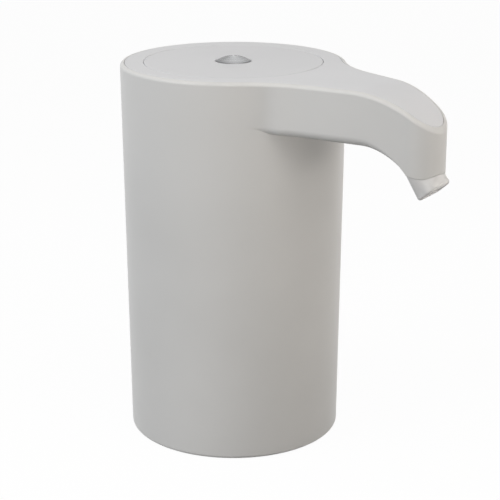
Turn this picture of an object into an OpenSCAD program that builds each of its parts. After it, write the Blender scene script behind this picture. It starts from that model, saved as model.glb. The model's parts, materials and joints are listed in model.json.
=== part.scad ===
// Battery pump that sits on the neck of a large water bottle and lifts the
// water through a hose to a spout. The origin is on the body's axis, at the
// foot that it stands on. +Z is up and the spout arm points along +X.

/* [Body] */
// Height of the body from its foot to its rim
body_h = 131; // [129:0.5:140]
// Diameter of the body at the rim
body_top_d = 77; // [76:0.5:84]
// Diameter of the body at the foot
body_foot_d = 74; // [73:0.5:80]
// Thickness of the body's wall
wall = 2.4; // [2:0.1:2.8]
// Radius of the rim's outer edge
rim_round = 1.2; // [0.6:0.1:1.6]
// Radius of the foot's outer edge
foot_round = 1.2; // [0.6:0.1:1.6]

/* [Spout arm] */
// Reach of the spout from the body's axis to its tip
spout_reach = 87.3; // [82:0.1:96]
// Diameter of the arm's round end, seen from above
spout_end_d = 17.4; // [16.4:0.2:19]
// Angle at which each side of the arm closes towards the tip
spout_taper = 12.6; // [10:0.2:14]
// Radius of the sweep that leads the body into the arm
root_sweep = 40; // [34:1:50]
// Depth of the arm where it leaves the body
spout_depth = 17.4; // [17:0.2:19]
// Length of the arm over which its top bends down
top_bend_run = 27; // [25:0.5:29]
// Radius of the top's bend
top_bend_r = 40; // [37:0.5:44]
// Length of the arm over which its underside bends down
under_bend_run = 23.4; // [22:0.1:25]
// Radius of the underside's bend
under_bend_r = 24; // [22.5:0.5:26]
// Depth of the end's lower edge below the rim
end_drop = 25.4; // [24:0.2:26]
// Radius along the arm's lower edges
under_round = 2.5; // [1:0.1:3]

/* [Nozzle] */
// Width of the outlet's mouth
nozzle_w = 12.8; // [11:0.2:14]
// Length of the mouth from its front edge to its back edge
nozzle_t = 5.6; // [5:0.1:6.2]
// Slant of the mouth, with its front edge the higher
mouth_tilt = 47; // [42:1:52]
// Drop of the mouth's centre below the arm's end
mouth_drop = 4.7; // [4.2:0.1:5.4]
// Angle of the passage above the mouth from straight down
nozzle_tilt = 22; // [18:1:25]
// Wall of the outlet
nozzle_wall = 1.9; // [1.7:0.1:2.1]

/* [Top cover] */
// Width of the rim that stands round the cover
rim_w = 1.5; // [1.2:0.1:2]
// Depth of the cover below the rim
cover_recess = 0.2; // [0.1:0.1:0.6]
// Thickness of the cover
cover_t = 2.9; // [2.5:0.1:3.2]
// Diameter of the round inlay panel
panel_d = 61; // [54:0.5:64]
// Thickness of the inlay panel
panel_t = 1.2; // [0.8:0.1:1.4]
// Width of the groove round the panel
panel_gap = 0.35; // [0.2:0.05:0.5]

/* [Button] */
// Diameter of the button
button_d = 12; // [10:0.5:15]
// Height of its dome above the panel
button_rise = 2.1; // [1.6:0.1:2.6]
// Travel of the button
button_travel = 1.2; // [0.6:0.1:1.4]

/* [Neck socket] */
// Diameter of the bottle neck that the collar takes
neck_d = 55; // [54:0.5:56]
// Depth of the socket up to its floor
socket_depth = 39; // [36:0.5:42]
// Thickness of the soft collar's wall
collar_wall = 3.15; // [2.8:0.05:3.3]
// Thickness of the cup that holds the collar
cup_wall = 2; // [1.6:0.1:2.2]
// Thickness of the socket's floor
floor_t = 3; // [2.8:0.1:4]
// Outer diameter of the spigot that takes the intake hose
spigot_d = 8; // [7:0.2:9]
// Length of the spigot below the floor
spigot_l = 13; // [11:0.5:15]

/* [Pump] */
// Module of the two gears
gear_module = 0.9; // [0.86:0.02:0.94]
// Height of the gears
gear_h = 6.5; // [5:0.1:8]
// Length of wall beyond the gears at each end of the pump
pump_end_wall = 6; // [5.6:0.1:6.4]
// Thickness of wall beyond the gears at each side of the pump
pump_side_wall = 7.5; // [7.2:0.1:9]
// Thickness of the pump's lid
lid_t = 4.5; // [4:0.1:6]
// Outer diameter of the outlet hose
hose_d = 7; // [6.6:0.1:7.2]
// Wall of the outlet hose
hose_wall = 1; // [0.8:0.05:1.1]

/* [Motor] */
// Diameter of the motor's can
motor_d = 24.4; // [23.6:0.1:24.8]
// Length of the motor's can
motor_l = 28.8; // [26:0.1:32]
// Diameter of the motor's shaft
shaft_d = 2.3; // [2:0.1:2.4]
// Spacing of the two screws on the motor's face
motor_screw_pitch = 17; // [17:0.1:18]

/* [Battery] */
// Diameter of the cell
cell_d = 18.4; // [17.6:0.1:18.8]
// Length of the cell
cell_l = 65; // [58:0.5:66]

/* [Control board] */
// Width of the board
board_w = 32; // [30:0.5:36]
// Thickness of the board
board_t = 1.6; // [1:0.1:2]
// Height of the posts that hold the board under the cover
board_post_h = 12.3; // [11:0.1:13]
// Width of the charging socket
usb_w = 8.9; // [7.5:0.1:9.4]
// Height of the charging socket
usb_h = 3.2; // [2.6:0.1:3.4]

/* [Clearances] */
// Radial play of a shaft in its bush
running_gap = 0.03; // [0.02:0.01:0.06]
// Gap between parts that are pushed together
push_gap = 0.1; // [0.06:0.01:0.15]
// Gap round the button and the cover
cover_gap = 0.15; // [0.1:0.05:0.2]
// Radial play of the bottle neck in the collar
neck_gap = 0.25; // [0.1:0.05:0.3]
// Gap of parts that are pressed or screwed home
seat_gap = 0.02; // [0.01:0.01:0.03]

/* [Hidden] */
$fn = 72;
eps = 0.01;

// Colours
shell_white = [0.84, 0.84, 0.83];
cover_white = [0.88, 0.88, 0.89];
steel = [0.72, 0.73, 0.75];
brass = [0.78, 0.62, 0.30];
copper = [0.72, 0.40, 0.20];
black = [0.12, 0.12, 0.13];
rubber = [0.80, 0.82, 0.84];
nylon = [0.90, 0.89, 0.84];
cell_blue = [0.20, 0.40, 0.70];
board_green = [0.10, 0.38, 0.22];

// Levels and radii of the body
top_r = body_top_d / 2;
foot_r = body_foot_d / 2;
cover_top = body_h - cover_recess;
cover_under = cover_top - cover_t;
ledge_w = 1.8;
ledge_h = 2;
function body_r(z) = foot_r + (top_r - foot_r) * z / body_h;
function inner_r(z) = body_r(z) - wall;

// Spout arm, seen from above: a round end, two closing sides and a sweep into the body
end_r = spout_end_d / 2;
end_c = [spout_reach - end_r, 0];
side_n = [sin(spout_taper), cos(spout_taper)];
side_d = [cos(spout_taper), -sin(spout_taper)];
sweep_bite = 0.1;
end_bite = 0.03;
sweep_reach = top_r + root_sweep - sweep_bite;
sweep_from = end_c + (end_r + root_sweep) * side_n;
sweep_along = sweep_from * side_d;
sweep_back = sweep_along - sqrt(sweep_along ^ 2 - sweep_from * sweep_from + sweep_reach ^ 2);
sweep_c = sweep_from - sweep_back * side_d;

// Spout arm, seen from the side
top_bend_x = spout_reach - top_bend_run;
top_bend_z = body_h - top_bend_r;
under_z = body_h - spout_depth;
under_bend_x = spout_reach - under_bend_run;
under_bend_z = under_z - under_bend_r;
end_z = body_h - end_drop;
end_round = 0.4;
round_fade = [spout_reach - 18, spout_reach - 8];
function arm_top(x) =
  body_h - (x > top_bend_x ? top_bend_r - sqrt(top_bend_r ^ 2 - (x - top_bend_x) ^ 2) : 0);
function arm_under(x) =
  let (run = max(0, min(x - under_bend_x, under_bend_r)))
  under_bend_z + sqrt(under_bend_r ^ 2 - run ^ 2);
function lower_round(x) =
  let (f = (x - round_fade[0]) / (round_fade[1] - round_fade[0]))
  under_round + (end_round - under_round) * max(0, min(1, f));

// Nozzle
nozzle_seat_wall = 0.55;
nozzle_seat_h = 8;
seat_inset = nozzle_seat_wall + push_gap / 2;
lip_inset = 0.3;
lip_gap = push_gap / 2;
lip_back_r = under_bend_r + lip_inset;
lip_back_x = under_bend_x + sqrt(lip_back_r ^ 2 - (end_z - under_bend_z) ^ 2);
lip_round = 2.2;
lip_edge = 0.7;
mouth = [spout_reach - 1.4, 0, end_z - mouth_drop];
throat = [spout_reach - 2.8, 0, end_z];
throat_out = [sin(nozzle_tilt), 0, -cos(nozzle_tilt)];
barb_r = hose_d / 2 - hose_wall - 0.05;
barb_bore_r = barb_r - 0.8;
elbow_up = 10;
elbow = throat - elbow_up * throat_out;
elbow_r = barb_r + 0.6;
elbow_swell = 0.3;
barb_tilt = 58;
barb_dir = [-sin(barb_tilt), 0, cos(barb_tilt)];
barb_start = 3.2;
barb_l = 5;

// Neck socket
floor_top = socket_depth + floor_t;
collar_bore_r = neck_d / 2 + neck_gap;
collar_r = collar_bore_r + collar_wall;
cup_in_r = collar_r + push_gap;
cup_r = cup_in_r + cup_wall;
cup_z = 1;
cup_flange_h = 2.5;
cup_flange_r = inner_r(cup_z) - 2 * push_gap;
screw_head_h = 1.9;
collar_z = cup_z + 0.5;
collar_top = socket_depth - screw_head_h - push_gap;
seat_clear = 0.5;
seat_z = socket_depth - spigot_l - seat_clear;
collar_hole_r = 16;
lips = 3;
lip_h = 4;
lip_groove = 1.2;
lead_in = 4;
lip_z = collar_z + lead_in;
lip_pitch = (seat_z - lip_z - lip_h) / (lips - 1);
bead_z = 14;
bead_r = 0.8;

// Screws
screw_r = 1.5;
screw_head_r = 2.8;
base_screw_at = [60, 180, 300];
base_screw_pcr = cup_in_r - screw_head_r - 1.2;
base_boss_r = 3.2;
base_boss_h = 12;
base_screw_l = floor_t + 8;

// Pump: two equal gears on centres along X, with the motor over the first
teeth = 10;
flank_n = 6;
pressure_angle = 28;
backlash = 0.05;
axial_gap = 0.05;
gear_pitch_r = gear_module * teeth / 2;
gear_tip_r = gear_pitch_r + gear_module;
gear_root_r = gear_pitch_r - 1.25 * gear_module;
gear_base_r = gear_pitch_r * cos(pressure_angle);
gear_centres = 2 * gear_pitch_r;
chamber_r = gear_tip_r + 0.1;
pump_l = gear_centres + 2 * (chamber_r + pump_end_wall);
pump_w = 2 * (chamber_r + pump_side_wall);
pump_corner = 5;
pump_screw_at = [pump_l / 2 - 3.5, pump_w / 2 - 4];
base_boss_in = base_screw_pcr - base_boss_r;
pump_x = pump_l / 2 - base_boss_in + 1.9;
drive_x = pump_x - gear_centres / 2;
driven_x = pump_x + gear_centres / 2;
lid_top = floor_top + lid_t;
gasket_t = 0.5;
pump_z = lid_top + gasket_t;
gear_z = lid_top + axial_gap;
chamber_top = gear_z + gear_h + axial_gap;
pump_head_t = 5.5;
pump_top = chamber_top + pump_head_t;
pump_screw_in = 7;
pin_r = 1.25;
pin_in = 2.5;
seal_h = 3;
seal_r = 3.6;
seal_z = chamber_top + 0.8;
port_r = 2.5;
outlet_bore_r = 1.9;
cusp_y = sqrt(chamber_r ^ 2 - gear_pitch_r ^ 2);
port_y = -(cusp_y + port_r - 0.5);
outlet_port_y = cusp_y + outlet_bore_r - 0.5;
spigot_r = spigot_d / 2;
spigot_wall = 1.5;
spigot_in = 3;
spigot_root_r = spigot_r + 0.6;
spigot_root_l = 1;
o_ring_r = 0.8;
outlet_l = 4.8;
outlet_z = gear_z + gear_h / 2;
outlet_y = pump_w / 2;

// Motor, standing on the pump with its shaft down
motor_r = motor_d / 2;
can_wall = 1;
can_in_r = motor_r - can_wall;
motor_top = pump_top + motor_l;
boss_r = 3.25;
boss_h = 1.5;
bush_r = 2.5;
bush_h = 3;
shaft_r = shaft_d / 2;
cap_t = 2;
cap_plug_h = 3;
cap_boss_h = 1.6;
magnet_t = 2.6;
magnet_in_r = can_in_r - seat_gap - magnet_t;
core_r = magnet_in_r - 0.5;
core_low = 6.4;
core_high = 8.4;
core_l = motor_l - core_low - core_high;
core_z = pump_top + core_low;
pole_w = 3;
shoe_t = 1.4;
hub_r = 2.8;
shoe_half = 50;
coil_half = 48;
poles = [0, 120, 240];
coil_end = 2.4;
commutator_r = 2.9;
commutator_z = core_z + core_l + coil_end;
commutator_h = motor_top - cap_plug_h - commutator_z + 1.6;
terminal_h = 5;
terminal_w = 2.6;
terminal_t = 0.5;
terminal_x = 7;
motor_screw_r = 1.3;
motor_screw_l = 4.5;
motor_screw_head_r = 2.1;
motor_screw_head_h = 1.6;
motor_screw_seat = pump_top - 3;

// Battery, beside the pump against the wall
cell_r = cell_d / 2;
cradle_gap = 0.25;
cradle_wall = 1.5;
cradle_r = cell_r + cradle_gap + cradle_wall;
cradle_floor = 1.2;
cradle_h = 45;
cell_turn = -23;
cell_out = inner_r(floor_top) - cradle_r - 0.6;
cell_c = cell_out * [cos(cell_turn), sin(cell_turn)];
cell_z = floor_top + cradle_floor;
cell_top = cell_z + cell_l;
peg_r = 1.4;
peg_in = 2.2;
peg_out = 5;

// Control board, hung from posts under the cover
board_top = cover_under - board_post_h;
board_z = board_top - board_t;
board_back = -(inner_r(board_z) - 2.4);
board_front = 12;
board_round_r = inner_r(board_z) - 2;
post_r = 2.8;
post_screw_r = 1.1;
post_at = [[board_back + 11.5, board_w / 2 - 4], [board_front - 4.5, board_w / 2 - 4]];
board_screw_l = board_t + 6;
usb_l = 7.3;
usb_mouth = -(body_r(board_top) - 1.8);
usb_z = board_top + usb_h / 2;
usb_hole_gap = 0.35;

// Button and switch
panel_r = panel_d / 2;
button_r = button_d / 2;
dome_r = (button_r ^ 2 + button_rise ^ 2) / (2 * button_rise);
dome_half = asin(button_r / dome_r);
button_hole_r = button_r + cover_gap;
cap_skirt = cover_t - 0.8;
cap_wall = 0.6;
stem_r = button_r - cap_wall - seat_gap;
stem_flange_r = button_hole_r + 1.3;
stem_flange_h = 1.25;
stem_flange_top = cover_under - 0.05;
stem_rod_r = 2;
stem_rod_l = 2;
stem_bottom = stem_flange_top - stem_flange_h - stem_rod_l;
plunger_gap = 0.05;
plunger_r = 1.6;
plunger_top = stem_bottom - plunger_gap;
plunger_show = button_travel + 1.3;
plunger_in = 1.6;
switch_w = 7;
switch_top = plunger_top - plunger_show;

// Hose and leads. Their routes are points chosen by hand between two ends that follow the parts.
hose_sides = 12;
hose_r = hose_d / 2;
hose_bore_r = barb_r + 0.15;
lead_r = 0.7;
lead_sides = 8;
hose_end = elbow + (barb_start + 0.1) * barb_dir;
hose_up = elbow + (barb_start + barb_l) * barb_dir;
hose_start = [pump_x, outlet_y + 0.3, outlet_z];
hose_straight = 2.4;
hose_side_y = sqrt((inner_r(outlet_z) - hose_r - 1.5) ^ 2 - pump_x ^ 2);
hose_bend = hose_side_y - hose_start.y - 3 * hose_straight;
hose_top_z = cover_under - hose_r - 2.3;
hose_off = [for (i = [0 : 3]) hose_start + [0, i * hose_straight, 0]];
hose_route = [each hose_off,
  [pump_x, hose_side_y - hose_bend * (1 - sin(45)), outlet_z + hose_bend * (1 - cos(45))],
  [pump_x + 1, hose_side_y, outlet_z + hose_bend], [-1.5, 28.8, 69], [4, 27.4, 81], [11, 25, 93],
  [17, 21, 105], [25, 15.5, hose_top_z - 7.6], [36, 8.5, hose_top_z - 1.8], [48, 3, hose_top_z - 0.1],
  [60, 0, hose_top_z], hose_up + [-4, 0, 2.1], hose_up, hose_end];
lead_step = 3.2;
lead_up = 1.5;
lead_over = 4;
lead_level = max(cell_top, board_top) + lead_over;
cell_lead_pad = [board_front - 5, -3];
lead_red = [0.70, 0.10, 0.10];

// Points on an arc, for outlines that are revolved
function arc(c, r, a0, a1, n) =
  [for (i = [0 : n]) let (a = a0 + (a1 - a0) * i / n) c + r * [cos(a), sin(a)]];

// One point on a smooth curve through the points p, between p[i] and p[i + 1]
function curve_point(p, i, t) =
  let (
    a = p[max(i - 1, 0)],
    b = p[i],
    c = p[i + 1],
    d = p[min(i + 2, len(p) - 1)]
  )
  (2 * b + (c - a) * t + (2 * a - 5 * b + 4 * c - d) * t ^ 2 + (3 * b - a - 3 * c + d) * t ^ 3) / 2;
function curve(p, steps) = concat(
  [for (i = [0 : len(p) - 2], k = [0 : steps - 1]) curve_point(p, i, k / steps)],
  [p[len(p) - 1]]);

function unit(v) = v / norm(v);
function tangent(p, i) = unit(p[min(i + 1, len(p) - 1)] - p[max(i - 1, 0)]);

// Side vectors that turn along a path without twisting
function next_side(side, t) = unit(side - (side * t) * t);
function sides_along(p, first) =
  [for (i = 0, s = next_side(first, tangent(p, 0)); i < len(p);
      i = i + 1, s = i < len(p) ? next_side(s, tangent(p, i)) : s) s];
function ring(c, t, side, r, n) =
  let (up = cross(t, side))
  [for (k = [0 : n - 1]) c + r * (cos(360 * k / n) * side + sin(360 * k / n) * up)];
function band(a, b, n) =
  [for (k = [0 : n - 1], half = [0, 1])
    half == 0 ? [a + k, b + k, a + (k + 1) % n] : [a + (k + 1) % n, b + k, b + (k + 1) % n]];

// A tube along a path, with a bore where bore_r is over zero
module tube(path, r, bore_r, n, first) {
  side = sides_along(path, first);
  rings = len(path);
  outer = [for (i = [0 : rings - 1]) each ring(path[i], tangent(path, i), side[i], r, n)];
  inner = [for (i = [0 : rings - 1]) each ring(path[i], tangent(path, i), side[i], bore_r, n)];
  last = (rings - 1) * n;
  skin = [for (i = [0 : rings - 2]) each band(i * n, (i + 1) * n, n)];
  lining = [for (f = skin) [f[2], f[1], f[0]] + rings * n * [1, 1, 1]];
  if (bore_r > 0)
    polyhedron(concat(outer, inner),
      concat(skin, lining, band(rings * n, 0, n), band(last, rings * n + last, n)));
  else
    polyhedron(outer,
      concat(skin, [[for (k = [0 : n - 1]) k]], [[for (k = [n - 1 : -1 : 0]) last + k]]));
}

// Half of the arm's outline from the body to the tip: points with outward directions
sweep_n = 18;
tip_n = 12;
sweep_a0 = atan2(-sweep_c.y, -sweep_c.x);
sweep_a1 = -90 - spout_taper;
sweep_half = [for (i = [0 : sweep_n])
  let (a = sweep_a0 + (sweep_a1 - sweep_a0) * i / sweep_n, d = [cos(a), sin(a)])
  [sweep_c + root_sweep * d, -d]];
straight_n = 8;
straight_half = [for (i = [1 : straight_n - 1])
  [sweep_half[sweep_n][0] + sweep_back * i / straight_n * side_d, side_n]];
tip_half = [for (i = [0 : tip_n])
  let (a = (90 - spout_taper) * (1 - i / tip_n), d = [cos(a), sin(a)])
  [end_c + end_r * d, d]];
root_in = 0.85;
arm_half = concat([[root_in * sweep_half[0][0], sweep_half[0][1]]], sweep_half, straight_half, tip_half);
arm_loop = concat(arm_half, [for (i = [len(arm_half) - 2 : -1 : 0])
  [[arm_half[i][0].x, -arm_half[i][0].y], [arm_half[i][1].x, -arm_half[i][1].y]]]);
arm_count = len(arm_loop);

// The arm's solid: rings of its outline, drawn in along the rounded upper and lower edges
round_n = 4;
function lower_ring(a) = [for (q = arm_loop)
  let (r = lower_round(q[0].x), p = q[0] - r * (1 - sin(a)) * q[1])
  [p.x, p.y, arm_under(p.x) + r * (1 - cos(a))]];
function upper_ring(a) = [for (q = arm_loop)
  let (p = q[0] - rim_round * (1 - cos(a)) * q[1])
  [p.x, p.y, arm_top(p.x) - rim_round * (1 - sin(a))]];
module arm_solid() {
  n = arm_count;
  levels = concat(
    [for (i = [0 : round_n]) lower_ring(90 * i / round_n)],
    [for (i = [0 : round_n]) upper_ring(90 * i / round_n)]);
  top = (len(levels) - 1) * n;
  walls = [for (i = [0 : len(levels) - 2]) each band(i * n, (i + 1) * n, n)];
  strip = [for (i = [0 : len(arm_half) - 2])
    i == len(arm_half) - 2 ? [i, i + 1, n - 1 - i] : [i, i + 1, n - 2 - i, n - 1 - i]];
  upper = [for (f = strip) [for (k = f) top + k]];
  lower = [for (f = strip) [for (k = [len(f) - 1 : -1 : 0]) f[k]]];
  difference() {
    polyhedron([for (l = levels) each l], concat(walls, upper, lower));
    translate([under_bend_x, -spout_reach, 0]) cube([spout_reach, 2 * spout_reach, end_z]);
  }
}

// The outline seen from above, drawn in by an inset
module arm_plan(inset) {
  flip = [1, -1];
  side_in = end_c + (end_r - inset) * side_n;
  sweep_in = sweep_c - (root_sweep + inset) * side_n;
  far = [for (p = [side_in, sweep_in, sweep_c]) [p.x * flip.x, p.y * flip.y]];
  difference() {
    union() {
      polygon(concat([[0, 0], sweep_c, sweep_in, side_in], far));
      translate(end_c) circle(end_r - inset + end_bite);
    }
    for (s = flip)
      translate([sweep_c.x, s * sweep_c.y]) circle(root_sweep + inset + end_bite, $fn = 180);
  }
}
module comma_plan(inset) {
  circle(top_r - inset);
  arm_plan(inset);
}

// The side profile under the top surface lowered by drop and over the underside raised by lift
module side_profile(drop, lift, low) {
  far = top_r + spout_reach;
  difference() {
    union() {
      translate([-far, low]) square([far + top_bend_x, body_h - drop - low]);
      intersection() {
        translate([top_bend_x, top_bend_z]) circle(top_bend_r - drop, $fn = 180);
        translate([top_bend_x, low]) square([top_bend_run + end_r, body_h - low]);
      }
    }
    if (lift >= 0) {
      translate([-2 * far, -far]) square([2 * far + under_bend_x, far + under_z + lift]);
      intersection() {
        translate([under_bend_x, under_bend_z]) circle(under_bend_r + lift, $fn = 180);
        translate([under_bend_x, -far]) square(3 * far);
      }
    }
  }
}
module profile_prism() {
  rotate([90, 0, 0]) linear_extrude(4 * top_r, center = true) children();
}

// Outline of the pump, on the pump's centre
module pump_plan() {
  square([pump_l - 2 * pump_corner, pump_w], center = true);
  square([pump_l, pump_w - 2 * pump_corner], center = true);
  for (x = [-1, 1], y = [-1, 1])
    translate([x * (pump_l / 2 - pump_corner), y * (pump_w / 2 - pump_corner)]) circle(pump_corner);
}
module chamber_plan() {
  for (x = [drive_x, driven_x])
    translate([x, 0]) circle(chamber_r);
  translate([pump_x, port_y]) circle(port_r);
  translate([pump_x, outlet_port_y]) circle(outlet_bore_r);
}
module at_pump_screws() {
  for (x = [-1, 1], y = [-1, 1])
    translate([pump_x + x * pump_screw_at.x, y * pump_screw_at.y, 0]) children();
}
module at_motor_screws() {
  for (s = [-1, 1])
    translate([drive_x, s * motor_screw_pitch / 2, 0]) children();
}
module at_base_screws() {
  for (a = base_screw_at)
    rotate(a) translate([base_screw_pcr, 0, 0]) children();
}
module at_posts() {
  for (p = post_at, s = [-1, 1])
    translate([p.x, s * p.y, 0]) children();
}

// Screw with its head below the origin, its point up, and a cross recess
module screw(r, l, head_r, head_h) {
  recess_w = head_r * 0.3;
  recess_l = head_r * 1.2;
  recess_h = head_h * 0.6;
  shank_in = head_h * 0.2;
  difference() {
    union() {
      translate([0, 0, -shank_in]) cylinder(h = l + shank_in, r = r);
      translate([0, 0, -head_h]) cylinder(h = head_h, r = head_r);
    }
    for (a = [0, 90])
      rotate(a) translate([-recess_l / 2, -recess_w / 2, -head_h - eps])
        cube([recess_l, recess_w, recess_h]);
  }
}

module pipe(h, r, bore) {
  difference() {
    cylinder(h = h, r = r);
    translate([0, 0, -eps]) cylinder(h = h + 2 * eps, r = bore);
  }
}

// One gear with involute teeth
function involute(a) = gear_base_r * [cos(a) + a * PI / 180 * sin(a), sin(a) - a * PI / 180 * cos(a)];
function roll_to(r) = sqrt(max(0, (r / gear_base_r) ^ 2 - 1)) * 180 / PI;
module gear_plan() {
  pitch_point = involute(roll_to(gear_pitch_r));
  half_tooth = 90 / teeth - backlash / gear_pitch_r * 90 / PI;
  turn = atan2(pitch_point.y, pitch_point.x) + half_tooth;
  roll_end = roll_to(gear_tip_r);
  flank = [for (i = [0 : flank_n])
    let (p = involute(roll_end * i / flank_n))
    [p.x * cos(turn) + p.y * sin(turn), p.y * cos(turn) - p.x * sin(turn)]];
  root = gear_root_r * [cos(turn + 1), -sin(turn + 1)];
  one_side = concat([root], flank);
  tooth = concat(one_side, [for (i = [len(one_side) - 1 : -1 : 0]) [one_side[i].x, -one_side[i].y]]);
  polygon([for (k = [0 : teeth - 1], p = tooth)
    let (a = 360 * k / teeth)
    [p.x * cos(a) - p.y * sin(a), p.x * sin(a) + p.y * cos(a)]]);
}
module gear(bore) {
  difference() {
    linear_extrude(gear_h) gear_plan();
    translate([0, 0, -eps]) cylinder(h = gear_h + 2 * eps, r = bore);
  }
}

// Body with the spout arm: a tapered can, open below for the neck and above for the cover
module body_outline() {
  polygon(concat([[0, 0]],
    arc([foot_r - foot_round, foot_round], foot_round, -90, 0, 5),
    arc([top_r - rim_round, body_h - rim_round], rim_round, 0, 90, 5),
    [[0, body_h]]));
}
module body_shell() {
  color(shell_white) {
    difference() {
      union() {
        rotate_extrude($fn = 180) body_outline();
        arm_solid();
      }
      rotate_extrude() polygon([[0, -1], [inner_r(-1), -1],
        [inner_r(cover_under - ledge_h), cover_under - ledge_h], [0, cover_under - ledge_h]]);
      intersection() {
        translate([0, 0, under_z - end_drop]) linear_extrude(body_h) arm_plan(wall);
        profile_prism() side_profile(cover_recess + cover_t + ledge_h, wall, end_z);
      }
      intersection() {
        translate([0, 0, under_z - end_drop]) linear_extrude(body_h) arm_plan(rim_w + ledge_w);
        profile_prism() side_profile(-1, wall, end_z + nozzle_seat_h);
      }
      translate([0, 0, cover_under - ledge_h - 1])
        cylinder(h = body_h, r = top_r - rim_w - ledge_w);
      difference() {
        translate([0, 0, end_z]) linear_extrude(body_h) comma_plan(rim_w);
        profile_prism() side_profile(cover_recess + cover_t, -1, 0);
      }
      nozzle_seat(nozzle_seat_wall, 0);
      usb_opening();
    }
    base_bosses();
  }
}
module nozzle_seat(inset, end_gap) {
  intersection() {
    translate([0, 0, end_z - 1]) linear_extrude(nozzle_seat_h + 1 - end_gap) arm_plan(inset);
    profile_prism() side_profile(0, inset, end_z - 2);
    translate([spout_reach / 2, -spout_end_d, 0]) cube([spout_reach, 2 * spout_end_d, body_h]);
  }
}
module usb_opening() {
  r = usb_h / 2 + usb_hole_gap;
  half = usb_w / 2 - usb_h / 2;
  translate([-2 * top_r, 0, usb_z]) rotate([0, 90, 0]) linear_extrude(top_r + 5) {
    square([2 * r, 2 * half], center = true);
    for (s = [-1, 1])
      translate([0, s * half]) circle(r);
  }
}
module base_bosses() {
  web = 2.4;
  for (a = base_screw_at)
    rotate(a) translate([0, 0, floor_top]) {
      difference() {
        union() {
          translate([base_screw_pcr, 0, 0]) cylinder(h = base_boss_h, r = base_boss_r);
          translate([base_screw_pcr, -web / 2, 0])
            cube([inner_r(floor_top) + wall / 2 - base_screw_pcr, web, base_boss_h]);
        }
        translate([base_screw_pcr, 0, -eps])
          cylinder(h = base_boss_h - 1, r = screw_r + seat_gap);
      }
    }
}

// Cover let into the rim, with the panel's recess, the board's posts and a locating lip
module top_cover() {
  lip_out_r = top_r - rim_w - ledge_w - 2 * push_gap;
  lip_t = 1.4;
  lip_h = ledge_h + 1.4;
  color(cover_white)
    difference() {
      union() {
        intersection() {
          translate([0, 0, end_z]) linear_extrude(body_h) comma_plan(rim_w + cover_gap);
          profile_prism() difference() {
            side_profile(cover_recess, -1, 0);
            side_profile(cover_recess + cover_t, -1, -1);
          }
        }
        at_posts() translate([0, 0, board_top]) cylinder(h = cover_under - board_top + eps, r = post_r);
        rotate(75) rotate_extrude(angle = 210)
          translate([lip_out_r - lip_t, cover_under - lip_h]) square([lip_t, lip_h + eps]);
      }
      translate([0, 0, cover_top - panel_t]) cylinder(h = panel_t + 1, r = panel_r + panel_gap);
      translate([0, 0, cover_under - 1]) cylinder(h = cover_t + 2, r = button_hole_r);
      at_posts() translate([0, 0, board_top - eps])
        cylinder(h = board_screw_l - board_t + 0.5, r = post_screw_r + seat_gap);
    }
}

module top_panel() {
  edge = 0.3;
  color(cover_white)
    translate([0, 0, cover_top - panel_t])
      rotate_extrude($fn = 180) polygon([[button_hole_r, 0], [panel_r, 0], [panel_r, panel_t - edge],
        [panel_r - edge, panel_t], [button_hole_r, panel_t]]);
}

// Outlet with a slanting mouth, a shoulder inside the arm's end and a barb for the hose
module lip_plate(l, w, r) {
  hull()
    for (x = [-1, 1], y = [-1, 1])
      translate([x * (l / 2 - r), y * (w / 2 - r), 0]) cylinder(h = eps, r = r, $fn = 24);
}
module at_mouth() {
  translate(mouth) rotate([0, -mouth_tilt, 0]) children();
}
module at_elbow(tilt) {
  translate(elbow) rotate([0, -tilt, 0]) children();
}
module lip_solid() {
  hull() {
    translate([0, 0, end_z - lip_gap - eps]) linear_extrude(eps) intersection() {
      arm_plan(lip_inset);
      translate([lip_back_x, -end_r]) square(2 * end_r);
    }
    at_mouth() translate([0, 0, lip_edge]) lip_plate(nozzle_t, nozzle_w, lip_round);
    at_mouth() lip_plate(nozzle_t - 2 * lip_edge, nozzle_w - 2 * lip_edge, lip_round - lip_edge);
  }
}
module lip_passage() {
  slot_t = nozzle_t - 2 * nozzle_wall;
  slot_w = nozzle_w - 2 * nozzle_wall;
  slot_round = 0.4 * slot_t;
  hull() {
    at_mouth() translate([0, 0, -lip_edge]) lip_plate(slot_t, slot_w, slot_round);
    at_elbow(nozzle_tilt) cylinder(h = eps, r = barb_bore_r, $fn = 24);
  }
}
module spout_nozzle() {
  color(rubber)
    difference() {
      union() {
        lip_solid();
        nozzle_seat(seat_inset, push_gap / 2);
        translate(elbow) sphere(r = elbow_r + elbow_swell);
        at_elbow(barb_tilt) cylinder(h = barb_start, r = elbow_r);
        at_elbow(barb_tilt) cylinder(h = barb_start + barb_l, r = barb_r);
      }
      lip_passage();
      translate(elbow) sphere(r = barb_bore_r + elbow_swell);
      at_elbow(barb_tilt) cylinder(h = barb_start + barb_l + 1, r = barb_bore_r);
    }
}

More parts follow.
